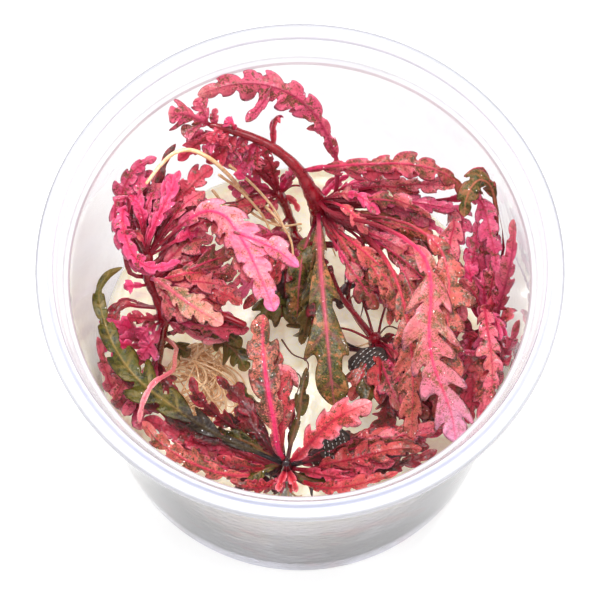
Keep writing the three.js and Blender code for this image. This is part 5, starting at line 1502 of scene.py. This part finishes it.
leaf("right_magenta_leaf", "magenta", right_stem, 44,
     [(32.8, -9.8, 46.8), (31.7, -6, 50), (32.3, -1, 52.6), (33.2, 4, 54.4), (33.6, 8.4, 55.4)],
     left=2.5, right=2.5, lobes=5, stalk=0.1, widest=0.5)
leaf("folded_green_leaf", "folded_green", right_stem, 46.4,
     [(36, -6, 50), (36.8, 2, 54), (37.3, 8, 58.4), (36.9, 13.4, 63), (35.8, 16, 66), (34.2, 16.6, 67.4),
      (32.7, 15.2, 67.6), (31.6, 12.5, 66.8), (31.1, 9, 65)],
     left=2.9, right=2.7, lobes=4, stalk=0.64, widest=0.35, cut=0.66, finer=1)


# Sprays: the small leaves that fill each plant between its large ones

SPRAY_LOBE = 4.2
SPRAY_BROADER = 1.15


def nearest_node(point):
    """The leaf or stem solid that comes nearest to a point"""
    return min(REACHES, key=lambda name: np.min(np.linalg.norm(REACHES[name] - point, axis=1)))


def spray(stem, height, *leaves, stalk=0.3):
    """Small leaves from one place on a stem: (coat, across, along, height of the tip, half width, rise)"""
    start, _ = stem.at(height)
    for count, (coat, across, along, tip_height, wide, rise) in enumerate(leaves, 1):
        dice = np.random.default_rng(int(abs(across * 97 + along * 31 + tip_height * 7)))
        tip = sight((across, along, tip_height))
        sway = np.array([*dice.uniform(-1.2, 1.2, 2), 0])
        bends = [start + share * (tip - start) + sway + [0, 0, lift * rise]
                 for share, lift in ((0.33, 0.75), (0.66, 1))]
        midrib = Midrib(smooth_line([start, *bends, tip], 9), tuple(dice.uniform(-35, 35, 2)))
        lobes = int(max(3, round(midrib.length * (1 - stalk) / SPRAY_LOBE)))
        node = nearest_node(tip)
        name = f"{node}_spray_{round(across)}_{round(along)}_{count}".replace("-", "m")
        left, right = wide * SPRAY_BROADER * dice.uniform(0.85, 1.1, 2)
        grow(name, node, coat, midrib, left, right, lobes, stalk, dice.uniform(0.4, 0.65),
             dice.uniform(0.42, 0.66), 0.28, 0.9, dice)


# The sprays of the left stem

spray(
    left_stem, 54.4,
    ("magenta", -33.6, 2.6, 60, 1.5, 9), ("hot_pink", -32.6, 13.4, 61, 1.6, 4),
    ("crimson", -30.6, 16.8, 59, 1.8, 3), ("magenta", -26.6, 16.4, 60, 1.9, 4),
    ("hot_pink", -23.6, 17.6, 61, 2, 4), ("crimson", -21.2, 16.6, 58, 2.3, 3),
    ("rose", -18.2, 14.4, 58.6, 2.3, 4), ("magenta", -17, 11.6, 56, 2.2, 4),
    ("crimson", -20, 8.8, 55, 2, 3), ("hot_pink", -22.6, 12.4, 57.6, 1.8, 4),
    ("rose_flecked", -31.6, 9.6, 57, 1.7, 4), ("crimson", -25.4, 8.8, 54.4, 2.1, 2),
    ("magenta", -28.4, 10.4, 56.2, 1.9, 2.6), ("rose", -29.4, 14, 57.6, 2.1, 3),
    ("magenta", -25, 13.4, 57, 2.3, 3), ("rose", -20.2, 12.6, 56.2, 2.5, 3),
    ("hot_pink", -19, 6.4, 54, 2.2, 3), ("rose", -31.8, 6.2, 57, 1.9, 4),
    ("rose_flecked", -27.2, 18.4, 60.4, 2, 3), ("magenta", -30.6, 19.4, 61.6, 1.8, 4),
    ("hot_pink", -33, 15.6, 60.4, 1.7, 4), ("rose", -22.4, 15.4, 58.4, 2.4, 3), stalk=0.5,
)
spray(
    left_stem, 48,
    ("rose", -20.4, -1.4, 48.6, 2.5, 1.6), ("rose_flecked", -16.2, 2.6, 48.4, 2.6, 2),
    ("rose", -11.8, -2.4, 46.6, 2.5, 2), ("salmon_pink", -14.6, -8.4, 45.4, 2.3, 2),
    ("rose_flecked", -11, -6.2, 45, 2.4, 2), ("hot_pink", -23.6, -6.6, 47.6, 1.8, 1),
    ("rose", -19.8, 5.4, 50.4, 2.4, 2),
)
spray(
    left_stem, 50.5,
    ("rose", -16.4, 5, 52, 2.4, 3), ("magenta", -19.4, 1.4, 50, 2.4, 2.6),
    ("crimson", -14.4, -0.4, 48.4, 2.4, 3), ("rose_olive", -12.6, 1.6, 49, 2.3, 3),
    ("salmon_pink", -17.4, -2.4, 49.6, 2.2, 3), ("rose", -13.6, -5, 47.6, 2.3, 2.4),
    ("magenta", -22.4, -3, 49.8, 2, 2), ("hot_pink", -33, -5.6, 52.6, 1.4, 2),
)
spray(
    left_stem, 44,
    ("magenta", -30, -15.6, 44, 2.2, 2),
    ("crimson", -32.4, -11.2, 46, 1.8, 2), ("rose", -21.6, -14.4, 41.6, 2.2, 2),
    ("salmon_speckled", -18.2, -10, 44.6, 2.3, 2), ("magenta", -12.2, -11.6, 43.2, 2.1, 2),
    ("rose_olive", -22.8, -8.4, 46.6, 2, 1.6), ("magenta", -15.2, -8.2, 45.8, 2, 2),
    ("rose_olive", -13.8, -13.8, 41.6, 2.4, 2),
    ("crimson", -9.4, -13.4, 40.6, 2.1, 2), ("wet_green", -10.8, -17, 38.4, 2.6, 2),
    ("rose", -16.8, -6.2, 46.4, 2.2, 2), ("magenta", -29.8, -19.4, 41.6, 2.1, 2),
    ("hot_pink", -20, -5.6, 48, 1.8, 1.6),
)
spray(
    left_stem, 33,
    ("magenta", -36.2, -16.4, 47, 1.9, 2), ("hot_pink", -37.6, -12, 49.6, 1.6, 2),
    ("rose", -35.2, -23.4, 43.4, 2, 2), ("crimson", -33, -28.2, 40.6, 2.1, 2),
    ("magenta", -30, -31.2, 38.6, 2.1, 2), ("wet_green", -20.4, -18.6, 35.4, 2.1, 1.5),
    ("maroon", -22.6, -26.6, 37, 2, 2), ("rose", -34.4, -27.4, 47, 2.3, 2),
    ("rose_flecked", -32.4, -30.4, 46, 2.3, 2), ("rose", -36.4, -21.6, 48.4, 2.1, 2),
    ("rose_flecked", -29.4, -33.2, 44, 2.3, 2), ("hot_pink", -37.4, -17.6, 50.4, 1.7, 2),
)


# The sprays of the main stem

spray(
    main_stem, 65.2,
    ("crimson", -17.2, 24.2, 65.8, 1.9, 1), ("magenta", -18.6, 22.4, 63.6, 2, 1),
    ("crimson", -15, 23.6, 64.4, 1.8, 1), ("hot_pink", -14.4, 29.4, 67.8, 1.3, 0.6),
)
spray(
    main_stem, 62.2,
    ("magenta", -13.4, 20.6, 59.8, 2, 0.6), ("crimson", -11.4, 22.2, 61.4, 1.8, 0.6),
    ("rose", -8.2, 18.6, 57, 1.9, 0.6), ("hot_pink", -11.8, 16.6, 54.6, 2, 0.6),
    ("crimson", -7, 21.4, 59.2, 1.6, 0.6),
)
spray(
    main_stem, 46.5,
    ("hot_pink", 12.4, 15, 53.4, 1.9, 2), ("rose_olive", 18.4, 15.8, 54.6, 2.3, 4),
    ("salmon_pink", 15.6, 12.8, 51.6, 2, 2), ("rose", 22.8, 14, 56.4, 2.2, 4),
    ("magenta", 25.6, 10.6, 55.2, 2.2, 4), ("folded_green", 21, 8.2, 50.4, 2.6, 3.6),
    ("rose", 17.4, 6.4, 49.4, 2.2, 3), ("salmon_speckled", 25.2, 5, 51.2, 2.4, 4),
    ("magenta", 29.6, 10.6, 57.4, 2, 4), ("rose_flecked", 24.4, 7.2, 52.8, 2.5, 3.6), stalk=0.58,
)
spray(
    main_stem, 48,
    ("rose", 11.4, 13.4, 55.6, 1.5, 3), ("hot_pink", 15.2, 9.6, 57.4, 1.5, 4),
    ("rose_olive", 20.6, 11.8, 59.4, 1.8, 4), ("rose", 25, 8.8, 60.4, 1.8, 4),
    ("salmon_pink", 12.8, 5.4, 53.4, 1.8, 4), ("rose", 29.6, 15.2, 61.4, 1.8, 2), stalk=0.5,
)
spray(
    main_stem, 43.5,
    ("salmon_speckled", 12.4, -4.8, 46.4, 2.4, 4), ("rose", 9.6, 0.8, 45.4, 2, 3),
    ("rose_olive", 14.6, -9.6, 45.4, 2.5, 4.4), ("salmon_pink", 18.8, -4.8, 50.4, 2.4, 4.4),
    ("salmon_speckled", 19.8, -11.8, 48.6, 2.6, 5), ("rose", 25.4, -1.6, 51.2, 2.3, 5),
    ("magenta", 22.2, 2.4, 50.2, 2.2, 4), ("rose_olive", 26.6, -7.4, 50.4, 2.6, 5),
    ("salmon_speckled", 23.4, -15.4, 49, 2.5, 5), stalk=0.45,
)
spray(
    main_stem, 41,
    ("wet_green", 1.4, -4.8, 43.6, 2.4, 4), ("olive_mottled", -0.6, -11.4, 42.2, 2.8, 5),
    ("wet_green", 0.2, -16.6, 40, 2.9, 5), ("maroon", 4, -19.6, 41.2, 2.4, 5),
)


# The sprays of the back stem

spray(
    back_stem, 40.8,
    ("crimson", -7.6, 19.4, 46, 1.8, 1), ("hot_pink", -10.6, 17.2, 44.4, 1.8, 1),
    ("magenta", -13, 13.6, 43, 2, 1.4), ("crimson", -9.2, 11, 40.4, 1.9, 1.4),
    ("salmon_pink", -13.8, 10.8, 42.6, 1.9, 1.4), ("magenta", -1.6, 20, 46.6, 1.6, 1),
    ("rose", -6.6, 8.6, 39.6, 1.7, 1), ("magenta", -5.2, 17.6, 44, 1.6, 0.8),
)
spray(
    back_shoot, 31.4,
    ("rose_olive", -4.8, -1, 36, 2.3, 2.6), ("coral_dull", -7.4, -6.4, 38, 2.4, 3),
    ("maroon", -2.8, -7.4, 35.8, 2.4, 2.4), ("salmon_speckled", -9.4, -0.8, 38.6, 2.3, 3),
    ("magenta", -11.6, 3.4, 40, 2.1, 2.6), ("rose", -8.6, 3.8, 38, 1.9, 2),
    ("maroon", 6.2, -3, 33.6, 2, 1.6), ("rose", -7.4, -3.2, 37, 2.4, 2.6),
    ("wet_green", -1.6, -12.6, 34.6, 3.4, 2), ("coral_dull", -10.6, -9.6, 38.6, 2.4, 3),
    ("maroon", -5, -11.4, 34.6, 2.6, 2), ("salmon_speckled", -3.4, -4.6, 35.4, 2.3, 2.4),
    ("crimson", -12.8, -4.8, 40, 2.2, 3), ("magenta", -1.8, -1.6, 34.4, 1.9, 1.6),
    ("wet_green", -8.6, -14, 36.4, 3.2, 2), ("rose", -12.2, -1.4, 39.4, 2.4, 2),
    ("wet_black", -5.6, -8.6, 36, 2.4, 2), ("rose_flecked", -5.4, 2.6, 37, 2.2, 2),
)


# The sprays of the front stem

spray(
    front_stem, 41,
    ("crimson", 7.4, -40.6, 42.6, 2, 1.6), ("maroon", 12.4, -38.4, 44.6, 2.2, 2),
    ("wet_black", 13.6, -34.6, 43, 2.2, 2), ("crimson", 17.4, -39.2, 46.8, 2.2, 2),
    ("rose_olive", 21.2, -35.6, 47.2, 2.4, 2.4), ("maroon", 19, -33, 45, 2.2, 2),
    ("coral_dull", 25.2, -33.2, 46.8, 2.3, 2.4), ("wet_black", 9.2, -33.6, 40.6, 2.2, 2),
    ("rose", 28.6, -31.2, 47, 2.3, 2.4), ("maroon", 23.8, -36.4, 44.4, 2.3, 2),
    ("wet_green", 5.4, -43.4, 41.6, 1.7, 1), ("crimson", 10.6, -43.2, 46, 1.8, 1.4),
)
spray(
    front_stem, 40.4,
    ("wet_green", -9.6, -42.6, 42, 2, 1.2), ("maroon", -11.4, -35.6, 41.2, 2.2, 2),
    ("coral_dull", -15.4, -38.6, 43.4, 2.1, 2), ("wet_black", -6.8, -41.4, 40.8, 1.8, 1),
    ("crimson", -20.8, -33, 43.8, 2.2, 2.4), ("wet_green", -15.8, -34.2, 41.6, 2.2, 2),
    ("maroon", -12, -28.8, 41.4, 2.3, 3), ("rose", -24.6, -32.4, 44.4, 2, 2.4),
    ("crimson", -5.2, -44.2, 43, 1.5, 1), ("wet_green", -11.4, -24, 38.4, 2, 3),
    ("maroon", -15.6, -22.8, 41.6, 2.1, 3), ("wet_green", -3.4, -22.4, 42, 2.2, 3),
    ("rose_olive", -18.8, -36.4, 42.8, 2.6, 2),
)
spray(
    front_stem, 33,
    ("wet_black", -13, -41, 34, 2.6, 1), ("maroon", 10.4, -41.4, 33.4, 2.8, 1),
    ("wet_black", 4, -43.6, 31, 2.4, 1), ("maroon", -22, -36, 36, 2.6, 1),
    ("wet_black", -5.6, -44, 30, 2.4, 1), ("wet_black", 19, -38, 35, 2.6, 1),
    ("crimson", 26.4, -33.6, 37, 2.4, 1), ("crimson", -29, -31, 36, 2.4, 1),
)


# The sprays of the low middle stem

spray(
    middle_stem, 33.6,
    ("wet_black", 9.6, -22, 33, 2.2, 2), ("maroon", 17.6, -22.6, 36.8, 2.4, 2),
    ("coral_dull", 14.6, -28.2, 39, 2.4, 3), ("rose_olive", 18.6, -29.6, 40.6, 2.5, 3),
    ("salmon_speckled", 9.4, -27.6, 37, 2.3, 3), ("maroon", 19.6, -17.8, 36, 2.2, 2),
    ("rose", 22, -24.4, 41.4, 2.4, 3), ("wet_green", 11.2, -30.8, 37.6, 2.4, 2.6),
    ("rose_olive", 23.6, -31, 43, 2.5, 3), ("maroon", 26.2, -33.6, 42, 2.3, 2),
    ("maroon", 20.8, -34.4, 41, 2.3, 2),
)
spray(
    middle_shoots[1], 38.4,
    ("maroon", 14.4, -2.8, 40.4, 1.9, 1), ("salmon_speckled", 15.4, 2.4, 42.8, 2, 1.6),
    ("wet_black", 7.4, -9.6, 35.6, 1.8, 1), ("magenta", 16.4, -7.6, 40, 2.1, 1.6),
)


# The sprays of the right stem

spray(
    right_stem, 46,
    ("magenta", 35.6, -1.4, 54.4, 2.2, 2), ("rose", 37.6, 1.4, 57.6, 2, 2),
    ("crimson", 38.4, -6.6, 55, 2, 2), ("rose_flecked", 34.6, 4.6, 55.4, 2.2, 2),
    ("hot_pink", 31.4, 2.8, 53.2, 2, 2), ("rose", 29.8, -3.8, 51.2, 2.2, 2),
    ("magenta", 36, 9.6, 59, 1.9, 2), ("rose", 39.4, -11.6, 55.4, 1.8, 2),
)
spray(
    right_stem, 42.6,
    ("crimson", 37.4, -18.6, 49.6, 2.2, 2), ("magenta", 33.8, -19.4, 48.8, 2.3, 2),
    ("rose", 36.6, -24.8, 49, 2.3, 3), ("coral_dull", 32.8, -26.4, 47, 2.4, 3),
    ("magenta", 28.8, -22.2, 46.4, 2.3, 2.4), ("crimson", 29.4, -29.8, 44.6, 2.3, 3),
    ("rose_olive", 27.2, -26.6, 45.2, 2.4, 3), ("rose", 33, -31.4, 48.2, 2.1, 3),
    ("hot_pink", 38.6, -14.8, 51.6, 1.8, 2), ("crimson", 30.6, -16.2, 45.8, 2.1, 1.6),
)
spray(
    right_stem, 36,
    ("maroon", 30.2, -24.4, 39.8, 2.4, 2), ("crimson", 34.2, -25, 41.4, 2.3, 2),
    ("maroon", 26.2, -20.8, 38.6, 2.3, 2), ("magenta", 37.2, -17.4, 42.4, 2, 2),
    ("crimson", 27.4, -14, 39, 2.2, 2), ("rose_olive", 25.4, -9, 42, 2.3, 2.4),
)


# Roots

ROOT_COUNT = 40
ROOT_PLACES = 14
STEM_ROOTS = 7


def make_arching_root():
    root = Stem([
        (0.6, 0.4, 23.4, 0.45), (-1.4, 2.4, 30.5, 0.45), (-4.2, 7.2, 33.6, 0.45), (-8, 11.2, 37.4, 0.45),
        (-11.2, 14.6, 46.5, 0.45), (-14, 18, 59.4, 0.45), (-17.5, 21.2, 65.6, 0.45), (-21, 22.8, 67.4, 0.42),
        (-24, 22.2, 67.6, 0.4), (-26.6, 19.7, 67.4, 0.38), (-29.2, 16, 66.6, 0.32),
    ])
    make_tubes("arching_root_fine", [tube(root.line, root.radii, 10)], ROOT_COAT, "arching_root")


def make_root_tangle():
    """Thin roots that stream and loop down from the left crown and heap up on the jelly"""
    low, high = (np.array(corner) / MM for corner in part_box("root_tangle"))
    middle, half = (low + high) / 2, (high - low) / 2
    dice = np.random.default_rng(5)
    strands = []
    for _ in range(ROOT_COUNT):
        lane, level, bow = dice.uniform(-0.7, 0.5), dice.uniform(0, 1), dice.uniform(-0.6, 0.9)
        loops, phase = dice.uniform(4, 12), dice.uniform(0, 6)
        sway, turn_back = dice.uniform(0.15, 0.6), dice.uniform(0.04, 0.24)
        path = []
        for step in range(ROOT_PLACES):
            share = step / (ROOT_PLACES - 1)
            run = 0.92 - 1.7 * share + turn_back * math.sin(loops * 1.4 * share + phase)
            across = (lane * (0.5 + 0.5 * share) + bow * (share ** 2 - 0.2)
                      + sway * math.sin(loops * share + phase))
            across = max(-0.92, min(0.92, across))
            room = max(0.0, 1 - across ** 2 - run ** 2) ** 0.5
            spot = middle + half * np.array([across, max(-0.95, min(0.95, run)), 0])
            spot[2] = low[2] + 0.35 + level * room * (0.95 - 0.35 * share) * 1.85 * half[2]
            path.append(spot)
        line = smooth_line(path, 4)
        radius = dice.uniform(0.16, 0.36)
        strands.append(tube(line, np.linspace(radius, radius * 0.6, len(line)), 7))
    make_tubes("root_tangle_fine", strands, ROOT_COAT, "root_tangle")


def make_cream_roots():
    """Roots that bow out beside the arching root, between the main stem and the left plant"""
    routes = (
        [(-9, 13.4, 40), (-4.6, 9, 41), (-1.8, 4.4, 40), (-1.2, 0.6, 38)],
        [(-13.4, 19.6, 58), (-9, 15.6, 50), (-4.8, 10.4, 44), (-2.4, 5.6, 41)],
        [(-15.4, 17.6, 58), (-11.2, 14.2, 48), (-6.6, 8.4, 40), (-4.4, 2.4, 36)],
        [(-12, 12.4, 42), (-7.6, 8.8, 38.6), (-3.6, 7.2, 37), (0.2, 7.6, 36)],
        [(-16.6, 14.4, 50), (-12.8, 9.4, 42), (-8.6, 5.2, 38), (-6.4, -0.4, 34)],
        [(-10.6, 6.6, 38), (-6.6, 4.6, 36.4), (-3.6, 1.4, 35), (-2.8, -3, 33)],
    )
    strands = []
    for route in routes:
        line = seen_line(route, 10)
        strands.append(tube(line, np.linspace(0.34, 0.22, len(line)), 8))
    make_tubes("arching_root_beside", strands, ROOT_COAT, "arching_root")


def make_stem_roots():
    """A few thin roots from the low part of each stem, down to the jelly beside its foot"""
    for count, (node, (stem, *_), _) in enumerate(STEM_GROUPS):
        dice = np.random.default_rng(40 + count)
        strands = []
        for turn in np.arange(STEM_ROOTS) * 2 * math.pi / STEM_ROOTS + dice.uniform(0, 1):
            start, radius = stem.at(dice.uniform(JELLY_TOP + 3, JELLY_TOP + 9))
            away = np.array([math.cos(turn), math.sin(turn), 0])
            reach, curl = dice.uniform(1.6, 3.6), dice.uniform(-1, 1)
            aside = np.array([-away[1], away[0], 0]) * curl
            foot = stem.line[0] + away * (radius + reach) + aside
            foot[2] = JELLY_TOP + 0.1
            bend = (start + foot) / 2 + away * 0.8 - aside + [0, 0, dice.uniform(0, 1.4)]
            line = smooth_line([start + away * radius * 0.6, bend, foot], 8)
            strands.append(tube(line, np.linspace(0.24, 0.14, len(line)), 6))
        make_tubes(node + "_roots", strands, ROOT_COAT, node, kept_in_cup)


def make_strands():
    """Thin dark petioles and dry curled strands in the gaps between the leaves"""
    groups = (
        ("middle_stem", STEM_COAT, 0.3, [
            [(14, -15.8, 34), (12.4, -10, 36), (10.4, -4, 38.4), (9.4, -1, 40.6), (12.6, 2.4, 42)],
            [(13.8, -16, 33.6), (9, -13.6, 35), (5.6, -13.4, 36), (2.8, -15.2, 37)],
            [(14.4, -15.6, 34), (15.4, -11, 36), (16.8, -7.4, 38), (19, -5.6, 40)],
        ]),
        ("middle_stem", CURL_COAT, 0.2, [
            [(9.2, -7.6, 36.4), (11.2, -6, 37), (11.8, -8.6, 36.6), (11, -12.4, 35.4)],
            [(8.6, -6.4, 37), (8.8, -1.8, 38.4), (12.4, 1.6, 40), (13.2, 2.6, 41.6)],
            [(6.4, -4.4, 41.6), (8.6, -8, 39), (11.4, -11.4, 37)],
            [(13.6, -16.4, 33), (16.4, -13, 34.6), (19.2, -14.4, 35.6), (20.2, -18, 35.6)],
        ]),
        ("dark_middle_leaf", CURL_COAT, 0.2, [
            [(-3.4, -15.6, 33), (-1.4, -18.4, 33.6), (1.4, -20, 34), (1.2, -23.4, 33)],
            [(-4.2, -16.4, 33), (-3.4, -20.4, 32.6), (0, -22.8, 33), (-0.6, -26.4, 31)],
        ]),
        ("back_stem", STEM_COAT, 0.28, [
            [(-4, 13.4, 40.6), (-1.4, 15.4, 42.6), (2, 14.6, 43), (4.2, 12, 42)],
            [(-3.6, 13.2, 40.2), (-8, 13.6, 42), (-12.4, 12, 43.6), (-16.6, 11.8, 45.4)],
        ]),
        ("back_stem", CURL_COAT, 0.18, [
            [(2.6, 3.6, 33), (5.4, 6.6, 35), (7.8, 5.8, 36), (7.2, 3.2, 35)],
            [(0.8, 4, 32), (-0.6, 0.8, 34), (1.4, -2.4, 34.6), (0.8, -5.4, 33.4)],
        ]),
    )
    for count, (node, coat, radius, routes) in enumerate(groups, 1):
        strands = []
        for route in routes:
            line = seen_line(route, 10)
            strands.append(tube(line, np.linspace(radius, radius * 0.6, len(line)), 8))
        make_tubes(f"{node}_strands_{count}", strands, coat, node)


# The rows of white dashes on the two black wet patches: painted glints, for a lamp reflected in the wet
# surface

GLINT_DASH_COAT = streaked_material("dash_white_glint", (216, 214, 210), (176, 174, 172), 0.1, 0.3)
PATCH_COAT = streaked_material("dash_black", (92, 72, 64), (34, 30, 32), 0.95, 0.8, 4.0, 6.0)
DASH_HALF_WIDTH = 0.09
DASH_LENGTH = 0.3
DASH_STEP = 0.85
DASH_ROW_STEP = 0.78
DASH_STRAY = 0.12
ROW_REACH = 3.4
ROW_REACH_LOSS = 0.09

# A patch: half its length, half its width for each row and past them, its sides and its rings' shares
PATCH_REACH = 3.9
PATCH_ROW = 0.42
PATCH_MARGIN = 0.5
PATCH_SIDES = 28
PATCH_RINGS = (1, 0.94, 0.7, 0.4, 0.12)
PATCH_DROP = 0.28
PATCH_RIM_DROP = 0.9


def make_dashes(name, node, middle, turn, rows, bow):
    """Curved rows of short white dashes, painted glints of a lamp on the wet surface, round a place, and the
    black patch that they lie on
    """
    turn = math.radians(turn)
    ahead = np.array([math.cos(turn), math.sin(turn)])
    aside = np.array([-math.sin(turn), math.cos(turn)])
    across, along, height = middle
    marks = []
    for row in range(rows):
        off = (row - (rows - 1) / 2) * DASH_ROW_STEP
        reach = ROW_REACH - ROW_REACH_LOSS * (row - rows / 2) ** 2
        for step in np.arange(-reach, reach, DASH_STEP):
            shift = step + DASH_STEP / 2 * (row % 2) + DASH_STRAY * math.sin(5 * step + 3 * row)
            ends = []
            for end in (shift - DASH_LENGTH / 2, shift + DASH_LENGTH / 2):
                flat = ahead * end + aside * (off + bow * end ** 2)
                lift = DASH_STRAY * math.sin(end + row)
                ends.append(sight((across + flat[0], along + flat[1], height + lift)))
            marks.append(tube(ends, [DASH_HALF_WIDTH] * 2, 6))
    make_tubes(name, marks, GLINT_DASH_COAT, node)

    patch = []
    half_width = PATCH_ROW * rows + PATCH_MARGIN
    for share in PATCH_RINGS:
        drop = PATCH_RIM_DROP if share == 1 else PATCH_DROP
        for angle in np.arange(PATCH_SIDES) * 2 * math.pi / PATCH_SIDES:
            size = share * (1 + 0.08 * math.sin(3 * angle + 1) + 0.05 * math.sin(7 * angle))
            end, off = PATCH_REACH * size * math.cos(angle), half_width * size * math.sin(angle)
            flat = ahead * end + aside * (off + bow * end ** 2)
            patch.append(sight((across + flat[0], along + flat[1], height - drop)))
    faces = ring_faces(len(PATCH_RINGS), PATCH_SIDES)
    faces.append(tuple(range(len(patch) - PATCH_SIDES, len(patch))))
    faces.append(tuple(reversed(range(PATCH_SIDES))))
    inward = np.repeat(np.arange(len(PATCH_RINGS)) / len(PATCH_RINGS), PATCH_SIDES)
    around = np.tile(np.arange(PATCH_SIDES) / PATCH_SIDES, len(PATCH_RINGS))
    maps = {"UVMap": np.column_stack([inward, around])}
    make_piece(name + "_patch", patch, faces, [PATCH_COAT], SLOTS[node], [node], maps=maps)


make_arching_root()
make_root_tangle()
make_cream_roots()
make_stem_roots()
make_strands()
make_dashes("middle_dashes", "middle_stem", (12.6, -20.4, 38.8), 50, 7, -0.05)
make_dashes("front_dashes", "front_stem", (6.2, -35.2, 45.6), 105, 6, 0.05)
